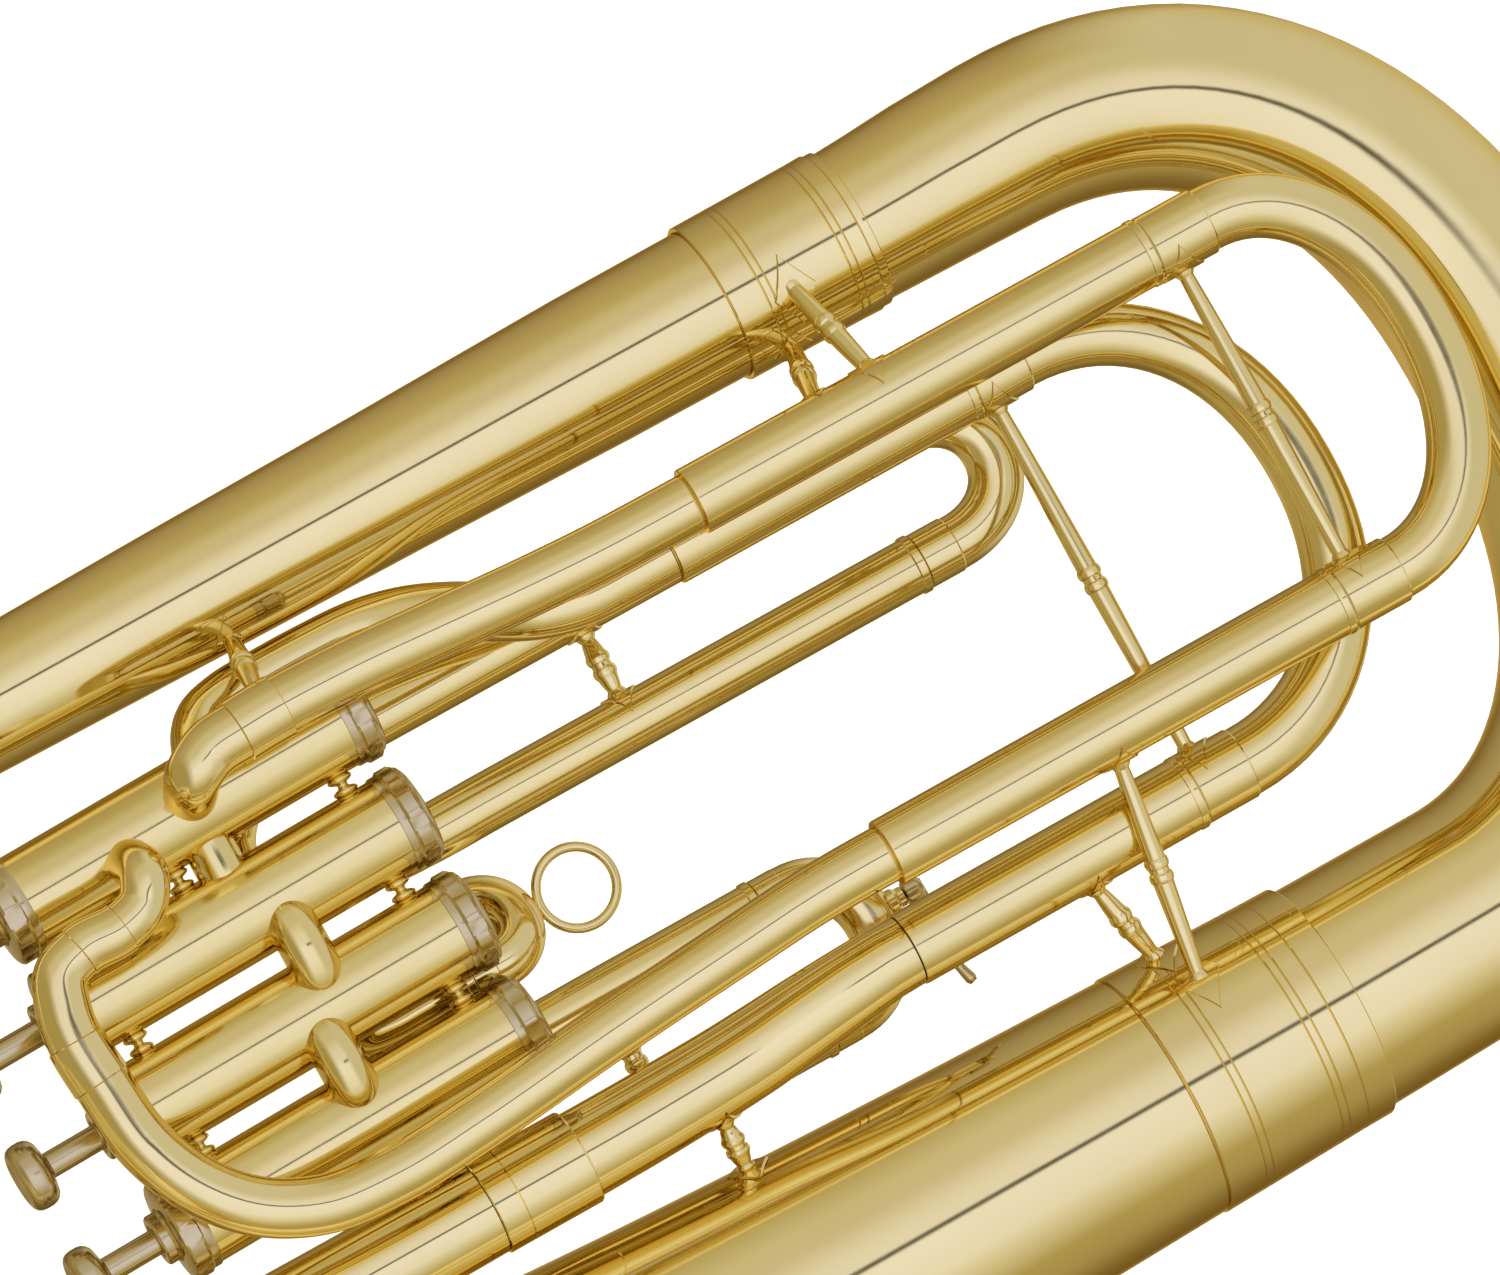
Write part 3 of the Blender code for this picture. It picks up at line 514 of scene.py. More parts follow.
def add_casing_stays():
    for name, left, z in (
        ("stay_1_2_top", 1, 424.0), ("stay_2_3_top", 2, 425.0), ("stay_3_4_top", 3, 396.6),
        ("stay_1_2_bottom", 1, 349.0), ("stay_2_3_bottom", 2, 349.0), ("stay_3_4_bottom", 3, 349.0),
    ):
        height = (z - VALVE_MID_Z) / math.cos(LEAN)
        start = on_valve(left, height) + Vector((CASING_R - 0.3, 0, 0))
        end = on_valve(left + 1, height) - Vector((CASING_R - 0.3, 0, 0))
        add_spool(name, start, end)


def add_knuckles():
    """The short tubes between neighbouring valves, each running from inside one casing into the next."""
    for left, z, bulge in ((1, 384.4, -9.0), (2, 378.4, -9.0), (3, 386.0, -1.0)):
        height = (z - VALVE_MID_Z) / math.cos(LEAN)
        start = on_valve(left, height)
        end = on_valve(left + 1, height)
        stations = (
            (start.x + 3.0, 0.35), (start.x + 8.5, 0.92), ((start.x + end.x) / 2, 1.08),
            (end.x - 8.5, 0.92), (end.x - 3.0, 0.35))
        path = smooth([(x, VALVE_Y + bulge * share, z, KNUCKLE_R) for x, share in stations], 10)
        add_pipe(
            f"knuckle_{left}_{left + 1}_look", path, VALVE_BRASS,
            nodes=(f"knuckle_{left}_{left + 1}",))


# ---- bell, bows and branches -----------------------------
BELL_WALL = 0.7
BELL_PROFILE = [         # height and radius
    (178.5, 31.4), (202.6, 32.45), (203.0, 33.1), (275.0, 35.3), (335.0, 38.0), (400.0, 42.2),
    (450.0, 45.6), (490.0, 50.0), (525.0, 59.0), (555.0, 73.5), (578.0, 93.0), (594.0, 117.0),
    (603.5, 138.5),
]


def add_bell():
    """The bell with its rolled rim. Its lower end is a short step inside the ferrule."""
    flare = [(p.x, p.z) for p, r in smooth([(r, 0, z, 0) for z, r in BELL_PROFILE[2:]], 7)]
    outside = [(r, z) for z, r in BELL_PROFILE[:2]] + flare
    inside = [(r - BELL_WALL, z) for r, z in outside]
    rim = [
        (139.6, 603.0), (140.5, 603.3), (141.0, 604.2), (140.8, 605.1), (140.1, 605.6),
        (139.2, 605.5), (138.6, 604.9),
    ]
    outline = outside + rim + inside[::-1]
    add_turned(
        "bell_look", outline, BRASS, (BELL_X, 0, 0), nodes=("bell",), sides=144, closed=True,
        sharp=40)
    add_ferrule(
        "bell_ferrule_look", 152.6, 202.3, 32.0, 33.3, (31.0, 32.5), BELL_X, "bell_ferrule",
        (160.9, 166.4, 168.6, 189.4, 191.6))


def add_ferrule(name, low, high, low_r, high_r, inner, x, node, lines):
    """A wide sleeve with scribed lines and a small bead at each end. inner is the radius inside it at
    the bottom and at the top."""
    groove, half = 0.28, 0.32
    spots = [(high, 0.0), (high - 0.25, 0.25)]
    for line in sorted(lines, reverse=True):
        spots += [(line + half, 0.25), (line, 0.25 - groove), (line - half, 0.25)]
    spots += [(low + 0.3, 0.35), (low, 0.05)]
    outline = [
        (low_r + (high_r - low_r) * (z - low) / (high - low) + rise, z) for z, rise in spots]
    outline += [(inner[0], low), (inner[1], high)]
    add_turned(name, outline, BRASS, (x, 0, 0), nodes=(node,), sides=112, closed=True, sharp=18)


def quarter(middle_x, side_x, top, lowest, power, radii, steps=26):
    """From a vertical leg at side_x round to the lowest point at middle_x, as (centre, radius) pairs. A
    power under 1 makes the bend squarer than an ellipse."""
    path = []
    for i in range(steps + 1):
        angle = math.pi / 2 * i / steps
        across = max(math.cos(angle), 0.0) ** power
        down = math.sin(angle) ** power
        centre = Vector((middle_x + (side_x - middle_x) * across, 0, top - (top - lowest) * down))
        path.append((centre, radii[0] + (radii[1] - radii[0]) * i / steps))
    return path


def add_bottom_bow():
    branch_leg = [
        (BRANCH_X, 185.5, 20.4), (BRANCH_X, 165.5, 20.7), (115.3, 154.0, 21.1), (115.7, 140.0, 21.7)]
    path = [(Vector((x, 0, z)), r) for x, z, r in branch_leg]
    path += quarter(5.0, 115.9, 120.0, 27.5, 0.89, (22.3, 27.5))
    path += quarter(-5.0, -113.8, 112.4, 27.5, 0.94, (30.3, 27.5))[::-1]
    bell_leg = [(-114.0, 125.0, 30.5), (-114.2, 138.0, 30.7), (BELL_X, 152.0, 30.9), (BELL_X, 177.5, 30.9)]
    path += [(Vector((x, 0, z)), r) for x, z, r in bell_leg]
    add_pipe("bottom_bow_look", path, BRASS, nodes=("bottom_bow",), sides=BIG_SIDES, wall=BELL_WALL)


def add_outer_branch():
    path = smooth([
        (BRANCH_X, 0, 186.5, 20.4), (BRANCH_X, 0, 240.0, 20.1), (114.9, 0, 300.0, 18.9),
        (114.7, 0, 360.0, 18.1), (BRANCH_TOP_X, 0, 440.0, 16.6)], 6)
    add_pipe("outer_branch_look", path, BRASS, nodes=("outer_branch",), sides=BIG_SIDES, wall=BELL_WALL)
    add_ferrule(
        "branch_ferrule_look", 166.6, 204.9, 21.7, 21.4, (20.8, 20.45), BRANCH_X, "branch_ferrule",
        (171.2, 173.2, 194.0, 196.0))
    add_turned("branch_collar", [
        (21.4, 166.4), (21.6, 166.0), (21.6, 164.2), (21.2, 163.9), (20.75, 163.9), (20.75, 166.4),
    ], BRASS, (BRANCH_X, 0, 0), sides=112, closed=True)


def add_top_bow():
    middle = (BRANCH_TOP_X + IN_X) / 2
    half = (BRANCH_TOP_X - IN_X) / 2
    base, rise = 446.0, 80.0
    path = [(Vector((IN_X, SMALL_Y, z)), r) for z, r in (
        (356.5, 11.3), (368.8, 11.3), (369.0, 12.1), (385.0, 12.3), (400.0, 12.5), (424.0, 12.65))]
    steps = 48
    for i in range(steps + 1):
        angle = math.pi * i / steps
        centre = Vector((
            middle - half * math.cos(angle), SMALL_Y * (1 + math.cos(angle)) / 2,
            base + rise * math.sin(angle)))
        path.append((centre, 12.8 + 3.6 * i / steps))
    path.append((Vector((BRANCH_TOP_X, 0, 440.3)), 16.5))
    add_pipe("top_bow_look", path, BRASS, nodes=("top_bow",), sides=BIG_SIDES)
    add_turned("top_bow_ferrule", [
        (17.0, 452.0), (17.45, 451.6), (17.6, 431.0), (17.3, 430.5), (16.4, 430.5), (16.2, 452.0),
    ], BRASS, (BRANCH_TOP_X, 0, 0), sides=96, closed=True)


def add_small_branch():
    x = MAIN_X[0]
    path = [(Vector((x, MAIN_Y, z)), r) for z, r in ((232.0, 8.1), (245.0, 8.1), (245.3, 9.4))]
    path += smooth([
        (x, MAIN_Y, 252.0, 9.6), (-51.1, MAIN_Y + 0.6, 262.0, 10.0), (-52.4, -17.0, 276.0, 10.6),
        (-53.8, -14.3, 290.0, 11.1), (-54.9, SMALL_Y, 318.0, 11.4), (IN_X, SMALL_Y, 355.8, 11.6)], 8)
    add_pipe("small_branch_look", path, BRASS, nodes=("small_branch",), sides=56)
    add_turned("small_branch_ferrule_look", [
        (12.4, 368.8), (12.7, 368.5), (12.7, 362.0), (12.5, 361.8), (12.7, 361.6), (12.7, 342.5),
        (12.4, 342.0), (11.75, 342.0), (11.9, 368.8),
    ], BRASS, (IN_X, SMALL_Y, 0), nodes=("small_branch_ferrule",), sides=72, closed=True)


# ---- slides ----------------------------------------------
def add_sleeve(name, x, y, low, high, radius, neck):
    """A straight outer slide tube with a rounded lip at its mouth. neck is the radius of the tube that
    enters its upper end."""
    lip = radius + 0.3
    outline = [
        (neck + 0.15, high), (radius - 0.3, high), (radius - 0.05, high - 0.15), (radius, high - 0.5),
        (radius, low + 2.4), (lip - 0.1, low + 2.2), (lip, low + 1.9), (lip, low + 0.5),
        (lip - 0.2, low + 0.1), (radius - 0.2, low), (radius - 0.6, low + 0.2),
        (radius - 0.6, high - 1.5), (neck + 0.15, high - 1.5),
    ]
    add_turned(
        f"{name}_look", outline, SLIDE_BRASS, (x, y, 0), nodes=(name,), sides=56, closed=True,
        sharp=24)


def slide_path(left, right, mouth, bow_top, drop, leg_top, radius, leg_radius, steps=40):
    """An inner leg, the bow and the other leg. left and right are (x, y) of the legs. radius is the bow's
    at its two ends."""
    a = Vector((*left, 0))
    b = Vector((*right, 0))
    middle = (a + b) / 2
    half = (b - a) / 2
    path = [(a + UP * leg_top, leg_radius), (a + UP * (mouth - 0.4), leg_radius)]
    path.append((a + UP * (mouth - 0.7), radius[0]))
    for i in range(steps + 1):
        angle = math.pi * i / steps
        across = math.copysign(abs(math.cos(angle)) ** SLIDE_FULLNESS, math.cos(angle))
        down = abs(math.sin(angle)) ** SLIDE_FULLNESS
        centre = middle - half * across + UP * (bow_top - drop * down)
        path.append((centre, radius[0] + (radius[1] - radius[0]) * i / steps))
    path.append((b + UP * (mouth - 0.7), radius[1]))
    path += [(b + UP * (mouth - 0.4), leg_radius), (b + UP * leg_top, leg_radius)]
    return path


def add_bow_collar(name, x, y, high, low, radius, inner, body):
    """The ferrule between a slide's leg and its bow, just under the mouth of the outer tube."""
    add_turned(name, [
        (inner - 0.2, high), (radius - 0.25, high), (radius, high - 0.3), (radius, low + 0.5),
        (radius - 0.3, low + 0.1), (inner - 0.2, low),
    ], SLIDE_BRASS, (x, y, 0), body=body, sides=56, closed=True, sharp=24)


def add_main_slide():
    left, right = MAIN_X
    mouth = 162.0
    add_sleeve("main_sleeve_left", left, MAIN_Y, mouth, 245.0, 9.8, 8.1)
    add_sleeve("main_sleeve_right", right, MAIN_Y, mouth, 249.5, 8.9, 7.2)
    path = slide_path(
        (left, MAIN_Y), (right, MAIN_Y), mouth, 146.8, 50.4, 226.0, (9.2, 7.8), 7.8)
    add_pipe(
        "main_tuning_slide_look", path, SLIDE_BRASS, "main_slide", ("main_tuning_slide",), 48, 0.55)
    for name, x, radius in (("left", left, 9.6), ("right", right, 8.6)):
        add_bow_collar(
            f"main_bow_collar_{name}", x, MAIN_Y, mouth - 0.1, 147.0, radius, radius - 0.6, "main_slide")
    z = 157.6
    add_brace(
        "main_slide_brace_look", (left + 9.4, MAIN_Y, z), (right - 8.4, MAIN_Y, z), "main_slide",
        ("main_slide_brace",), material=SLIDE_BRASS)
    add_flange("main_brace_flange_left", (left, MAIN_Y, z), (1, 0, 0), 9.6, 6.2, 12.5, "main_slide")
    add_flange("main_brace_flange_right", (right, MAIN_Y, z), (-1, 0, 0), 8.6, 6.2, 12.0, "main_slide")


def add_main_neck():
    right = MAIN_X[1]
    path = smooth([
        (71.0, -13.0, 374.5, 7.4), (79.5, -7.0, 374.0, 7.6), (84.5, -3.0, 369.5, 7.6),
        (86.6, -1.0, 361.5, 7.6), (86.9, 0.0, 351.0, 7.6), (86.9, 0.5, 338.5, 7.6),
        (85.8, -1.0, 322.0, 7.6), (83.2, -5.0, 312.5, 7.6), (79.0, -9.5, 303.5, 7.6),
        (73.5, -14.5, 294.5, 7.6), (68.5, -18.3, 284.5, 7.6), (65.9, MAIN_Y, 274.0, 7.6),
        (right, MAIN_Y, 262.0, 7.6), (right, MAIN_Y, 250.0, 7.6)], 8)
    path += [(Vector((right, MAIN_Y, 249.7)), 7.2), (Vector((right, MAIN_Y, 232.0)), 7.2)]
    add_pipe("main_neck_look", path, BRASS, nodes=("main_neck",), casing=4)


FOURTH_OVER = [
    (62.5, -20.0, 406.5, 6.0), (61.5, -30.0, 406.5, 6.1), (57.5, -37.4, 406.8, 6.2),
    (52.0, -38.0, 410.5, 6.2), (49.4, -38.0, 418.0, 6.3), (49.4, -38.0, 429.0, 6.5),
    (46.5, -38.0, 436.8, 6.8), (38.5, -38.0, 440.4, 7.0), (16.0, -38.0, 440.6, 7.3),
    (0.0, -38.0, 438.8, 7.5), (-14.5, -38.0, 432.6, 7.5), (-26.5, -38.0, 422.0, 7.5),
    (-34.0, -38.0, 407.5, 7.5), (-36.2, -38.0, 388.5, 7.5), (-35.0, -38.0, 364.0, 7.5),
    (-31.4, -38.0, 325.7, 7.5), (-28.4, -38.0, 287.4, 7.5), (-26.6, -38.0, 261.9, 7.5),
    (-26.35, -38.0, 250.0, 7.5), (-26.35, -38.0, 242.0, 7.5),
]
FOURTH_DOWN = [
    (70.0, -20.0, 384.5, 6.6), (71.0, -30.0, 385.0, 6.9), (74.0, -37.4, 383.5, 7.2),
    (77.0, -38.0, 377.5, 7.5), (77.9, -38.0, 368.0, 7.6), (77.9, -38.0, 338.5, 7.6),
    (76.2, -38.0, 313.0, 7.6), (74.4, -38.0, 287.5, 7.6), (73.5, -38.0, 268.0, 7.6),
    (73.3, -38.0, 250.0, 7.6), (73.3, -38.0, 242.0, 7.6),
]


def add_fourth_loop():
    left, right = FOURTH_X
    mouth = 108.8
    add_sleeve("fourth_sleeve_left", left, FOURTH_Y, mouth, 241.6, 8.9, 7.2)
    add_sleeve("fourth_sleeve_right", right, FOURTH_Y, mouth, 241.6, 8.9, 7.2)
    body = "fourth_slide_body"
    path = slide_path((left, FOURTH_Y), (right, FOURTH_Y), mouth, 92.3, 36.6, 215.0, (8.3, 8.3), 7.7)
    add_pipe("fourth_slide_look", path, SLIDE_BRASS, body, ("fourth_slide",), 48, 0.55)
    for name, x in (("left", left), ("right", right)):
        add_bow_collar(f"fourth_bow_collar_{name}", x, FOURTH_Y, mouth - 0.1, 92.5, 8.9, 8.3, body)
    z = 103.0
    add_brace(
        "fourth_slide_brace_look", (left + 8.7, FOURTH_Y, z), (right - 8.7, FOURTH_Y, z), body,
        ("fourth_slide_brace",), material=SLIDE_BRASS)
    add_flange("fourth_brace_flange_left", (left, FOURTH_Y, z), (1, 0, 0), 8.9, 6.2, 12, body)
    add_flange("fourth_brace_flange_right", (right, FOURTH_Y, z), (-1, 0, 0), 8.9, 6.2, 12, body)

    tail = [(241.4, 7.2), (222.0, 7.2)]
    over = smooth(FOURTH_OVER, 8) + [(Vector((left, FOURTH_Y, z)), r) for z, r in tail]
    over = add_pipe("fourth_branch_look", over, BRASS, nodes=("fourth_branch",), casing=4)
    add_band("fourth_branch_band_top", over, (17.5, -38, 440.6), (30.5, -38, 440.6), BRASS, 0.4)
    add_band("fourth_branch_band_side", over, (49.4, -38, 418.0), (49.0, -38, 430.0), BRASS, 0.4)
    down = smooth(FOURTH_DOWN, 8) + [(Vector((right, FOURTH_Y, z)), r) for z, r in tail]
    down = add_pipe("fourth_neck_look", down, BRASS, nodes=("fourth_neck",), casing=4)
    add_band("fourth_neck_band", down, (77.9, -38, 357.5), (77.9, -38, 369.0), BRASS, 0.7)


def add_small_loop(name, body, node, legs, sleeves, mouth, bow_top, drop, leg_top, radii, band):
    """A valve slide: its two outer tubes, which turn in to the casing, and the slide itself."""
    outer_r, bow_r, leg_r = radii
    for side, (stations, casing) in sleeves.items():
        path = smooth([(*s, outer_r) for s in stations], 8)
        path = add_pipe(
            f"{name}_outer_{side}_look", path, VALVE_BRASS, nodes=(f"{name}_outer_{side}",),
            casing=casing)
        end = path[-1][0]
        add_band(
            f"{name}_lip_{side}", [(end + UP * z, outer_r) for z in (0.3, 1.2, 2.2)],
            end, end + UP * 2.2, VALVE_BRASS, 0.45)
    path = slide_path(*legs, mouth, bow_top, drop, leg_top, (bow_r, bow_r), leg_r, 32)
    add_pipe(f"{name}_slide_look", path, SLIDE_BRASS, body, (node,), SIDES, 0.55)
    for side, (x, y) in zip(("left", "right"), legs):
        add_bow_collar(f"{name}_collar_{side}", x, y, mouth - 0.1, mouth - band, outer_r, bow_r, body)


def add_slide_stay(name, legs_x, z, radius, *flange):
    """A brace between a valve slide's two outer tubes, with a flange (half length, half width) on each."""
    left, right = legs_x
    add_brace(f"{name}_slide_stay", (left + radius, BACK_Y, z), (right - radius, BACK_Y, z))
    add_flange(f"{name}_stay_flange_left", (left, BACK_Y, z), (1, 0, 0), radius, *flange)
    add_flange(f"{name}_stay_flange_right", (right, BACK_Y, z), (-1, 0, 0), radius, *flange)


def add_first_slide():
    left, right = FIRST_X
    sleeves = {
        "left": ([
            (-23.0, -12.0, 366.2), (-28.0, -5.0, 366.2), (-38.0, 4.5, 366.2), (-46.0, 6.0, 365.7),
            (-54.6, 6.0, 360.5), (left, BACK_Y, 349.0), (left, BACK_Y, 330.0), (left, BACK_Y, 268.0)], 1),
        "right": ([
            (-21.0, -12.0, 352.7), (-21.5, -6.0, 352.7), (-22.5, 1.5, 350.3), (-23.2, 5.2, 344.0),
            (right, BACK_Y, 335.0), (right, BACK_Y, 315.0), (right, BACK_Y, 268.0)], 1),
    }
    add_small_loop(
        "first", "first_slide_body", "first_slide", ((left, BACK_Y), (right, BACK_Y)), sleeves,
        268.0, 260.3, 15.7, 322.0, (7.1, 7.0, 6.0), 7.5)
    add_slide_stay("first", FIRST_X, 314.5, 7.1, 5.0, 9.5)


def add_second_slide():
    left, right = (-4.0, 2.0), (13.0, 15.0)
    sleeves = {
        "left": ([
            (8.0, -12.0, 378.0), (3.2, -5.5, 377.5), (-2.6, 0.4, 373.5), (*left, 366.0),
            (*left, 355.0), (*left, 342.0)], 2),
        "right": ([
            (10.8, -12.0, 362.0), (12.5, -2.0, 362.0), (13.0, 8.0, 361.5), (13.0, 13.5, 357.0),
            (*right, 350.0), (*right, 342.0)], 2),
    }
    body = "second_slide_body"
    add_small_loop(
        "second", body, "second_slide", (left, right), sleeves,
        342.0, 333.0, 9.6, 364.0, (6.8, 6.6, 5.6), 7.0)
    add_ring(Vector((3.2, 8.5, 305.7)), 10.3, 1.3, body)


def add_ring(centre, radius, wire, body):
    """The pull ring, with the small foot that it is soldered by."""
    bm = bmesh.new()
    turns, around = 72, 16
    rings = []
    for i in range(turns):
        angle = 2 * math.pi * i / turns
        out = Vector((math.cos(angle), 0, math.sin(angle)))
        ring = []
        for k in range(around):
            bend = 2 * math.pi * k / around
            spot = centre + out * (radius + wire * math.cos(bend)) + Vector((0, wire * math.sin(bend), 0))
            ring.append(bm.verts.new(spot * MM))
        rings.append(ring)
    for i in range(turns):
        bridge(bm, rings[i], rings[(i + 1) % turns])
    add_piece("second_slide_ring_look", bm, SLIDE_BRASS, body, ("second_slide_ring",))
    top = centre + UP * (radius + wire)
    add_turned("ring_foot", [
        (0, -2.0), (1.1, -1.8), (1.3, -1.0), (1.6, 0.0), (2.3, 1.0), (3.4, 1.7), (3.4, 2.4), (0, 2.4),
    ], SLIDE_BRASS, top, UP, body, sides=24)


def add_third_slide():
    left, right = THIRD_X
    sleeves = {
        "left": ([
            (38.0, -12.0, 353.5), (37.0, -6.0, 353.5), (35.2, 1.5, 351.0), (33.4, 5.4, 344.5),
            (left, BACK_Y, 335.0), (left, BACK_Y, 315.0), (left, BACK_Y, 189.0)], 3),
        "right": ([
            (41.0, -10.0, 380.5), (47.0, 0.0, 380.5), (54.0, 5.5, 379.0), (61.5, 6.0, 373.5),
            (right, BACK_Y, 362.0), (right, BACK_Y, 340.0), (right, BACK_Y, 189.0)], 3),
    }
    add_small_loop(
        "third", "third_slide_body", "third_slide", ((left, BACK_Y), (right, BACK_Y)), sleeves,
        189.0, 178.5, 19.3, 300.0, (7.5, 7.2, 6.4), 10.0)
    add_slide_stay("third", THIRD_X, 273.1, 7.5, 5.2, 10.0)


# ---- leadpipe, water key and braces ----------------------
LEADPIPE = [
    (-24.0, -12.0, 379.0), (-34.0, -8.0, 379.0), (-40.5, -1.0, 380.0), (-48.0, 5.5, 382.0),
    (-58.0, 9.5, 386.0), (-69.5, 18.0, 392.0), (-79.5, 36.5, 402.0), (-98.5, 50.0, 415.0),
    (-120.5, 54.0, 429.0), (-142.5, 47.0, 443.0), (-160.5, 31.0, 456.0), (-169.5, 8.5, 468.0),
    (-169.0, -17.0, 478.0), (-157.5, -40.0, 487.0), (-138.5, -57.0, 495.0), (-117.0, -69.0, 502.0),
    (-98.0, -79.0, 510.0), (-84.0, -87.5, 520.0),
]


def add_leadpipe():
    last = len(LEADPIPE) - 1
    stations = [(*p, 5.9 - 0.7 * i / last) for i, p in enumerate(LEADPIPE)]
    path = add_pipe(
        "leadpipe_look", smooth(stations, 7), BRASS, nodes=("leadpipe",), sides=36, casing=1)
    add_band("leadpipe_band", path, (-48.0, 5.5, 382.0), (-58.0, 9.5, 386.0), BRASS, 0.5)
    start = Vector(LEADPIPE[-1])
    along = (start - Vector(LEADPIPE[-2])).normalized()
    add_turned("mouthpiece_receiver_look", [
        (6.1, 45.6), (6.4, 46.0), (7.5, 46.0), (8.1, 45.4), (8.6, 44.2), (8.6, 39.4), (8.2, 38.4),
        (7.5, 37.8), (7.4, 36.0), (7.0, 12.0), (7.3, 10.6), (7.8, 9.8), (7.8, 1.4), (7.4, 0.7),
        (5.6, 0.5), (5.6, 12.0), (6.1, 44.0),
    ], BRASS, start - along * 8, along, nodes=("mouthpiece_receiver",), closed=True)


def add_water_key():
    """A sprung lever under the first slide's crook, its pad cup, and the bracket it turns in."""
    body = "water_key_body"
    pivot_x, pivot_z = -53.0, 231.5
    cup_x = -38.6
    stations = (
        (-36.6, 229.4, 1.2), (-42.0, 229.6, 1.5), (-47.0, 230.6, 1.3), (pivot_x, pivot_z, 2.0),
        (-57.5, 231.0, 1.5), (-61.5, 230.1, 1.3), (-65.2, 229.1, 1.6), (-66.2, 228.8, 1.1))
    lever = smooth([(x, BACK_Y, z, radius) for x, z, radius in stations], 6)
    add_pipe("water_key_look", lever, NICKEL, body, ("water_key",), 20, 0.8)
    add_turned("water_key_cup", [
        (0, 4.4), (2.9, 4.4), (3.3, 4.0), (3.4, 3.2), (3.4, 1.2), (3.0, 0.3), (2.0, -0.6), (0, -0.9),
    ], NICKEL, (cup_x, BACK_Y, 229.2), UP, body, sides=36)
    add_turned("water_nipple", [
        (2.2, 0.0), (2.6, 0.3), (2.6, 1.8), (3.3, 2.8), (3.3, 6.0), (1.2, 6.0), (1.2, 0.0),
    ], SLIDE_BRASS, (cup_x, BACK_Y, 233.9), UP, "first_slide_body", sides=36, closed=True)
    for name, y in (("front", BACK_Y - 3.4), ("back", BACK_Y + 3.4)):
        add_post(f"water_key_post_{name}", pivot_x, y, pivot_z, 246.0)
    add_turned("water_key_screw", [
        (0, -5.4), (0.9, -5.4), (1.0, -5.2), (1.0, 4.6), (1.9, 4.6), (2.0, 4.8), (2.0, 5.6),
        (1.7, 5.9), (0, 5.9),
    ], NICKEL, (pivot_x, BACK_Y, pivot_z), (0, -1, 0), "first_slide_body", sides=24)


def add_post(name, x, y, pivot_z, top_z):
    """One cheek of the water key's bracket: a rounded plate from the crook down to the hinge pin."""
    half, thick, reach = 2.3, 0.55, 11
    outline = [(x - half, top_z)]
    for i in range(reach + 1):
        angle = math.pi * (1 + i / reach)
        outline.append((x + half * math.cos(angle), pivot_z + half * math.sin(angle)))
    outline.append((x + half, top_z))
    bm = bmesh.new()
    front = [bm.verts.new(Vector((px, y - thick, pz)) * MM) for px, pz in outline]
    back = [bm.verts.new(Vector((px, y + thick, pz)) * MM) for px, pz in outline]
    bm.faces.new(front)
    bm.faces.new(back[::-1])
    bridge(bm, front, back)
    add_piece(name, bm, SLIDE_BRASS, "first_slide_body")


def add_braces():
    add_brace("bell_brace_look", (-82.6, -9.9, 188.4), (-59.9, -17.0, 194.8), nodes=("bell_brace",))
    add_flange("bell_brace_flange_in", (MAIN_X[0], MAIN_Y, 194.8), (-10, 3, 0), 9.8, 5.5, 11)
    add_flange("bell_brace_flange_out", (BELL_X, 0, 188.2), (31, -10, 0), 33.2, 6.5, 12)

    add_brace("bell_front_brace", (-91.9, -23.6, 184.2), (-35.0, -35.2, 177.9))
    add_flange("front_brace_flange_out", (BELL_X, 0, 184.4), (22, -23, 0), 33.0, 6.5, 12)
    add_flange("front_brace_flange_in", (FOURTH_X[0], FOURTH_Y, 177.8), (-8, 2.6, 0), 8.9, 6.0, 11.5)

    add_brace("bell_upper_brace", (-78.8, -7.7, 305.4), (-65.5, -11.6, 305.4))
    add_flange("upper_brace_flange_out", (BELL_X, 0, 305.4), (31, -7.4, 0), 36.7, 6.0, 11)
    add_flange("upper_brace_flange_in", (-54.6, SMALL_Y, 305.4), (-10, 2.6, 0), 11.2, 5.5, 10.5)

    add_brace("branch_top_brace", (84.2, -32.8, 359.5), (99.1, -8.6, 354.6))
    add_flange("top_brace_flange_in", (77.9, FOURTH_Y, 359.4), (6, 4.2, 0), 8.3, 5.0, 9.5)
    add_flange("top_brace_flange_out", (BRANCH_X, 0, 354.6), (-16, -8.6, 0), 18.2, 5.5, 10)

    add_brace("branch_back_brace", (80.1, -32.8, 200.8), (96.2, -6.5, 193.2))
    add_flange("back_brace_flange_in", (FOURTH_X[1], FOURTH_Y, 200.7), (7, 4.8, 0), 8.9, 5.5, 11)
    add_flange("back_brace_flange_out", (BRANCH_X, 0, 193.5), (-20, -8, 0), 21.7, 5.5, 10)
    add_brace(
        "branch_front_brace", (80.9, -39.5, 186.1), (108.7, -19.3, 188.8), thin=2.2, thick=2.7)
    add_flange("front_flange_in", (FOURTH_X[1], FOURTH_Y, 186.1), (8, -0.6, 0), 8.9, 5.5, 11)
    add_flange("front_flange_out", (BRANCH_X, 0, 188.7), (-8, -20.4, 0), 21.9, 6.0, 11)

    add_brace("leadpipe_brace_back", (-119.2, 43.6, 429.0), (-120.0, 49.2, 429.0))
    add_brace("leadpipe_brace_front", (-134.0, -46.9, 494.0), (-136.4, -52.4, 495.0))


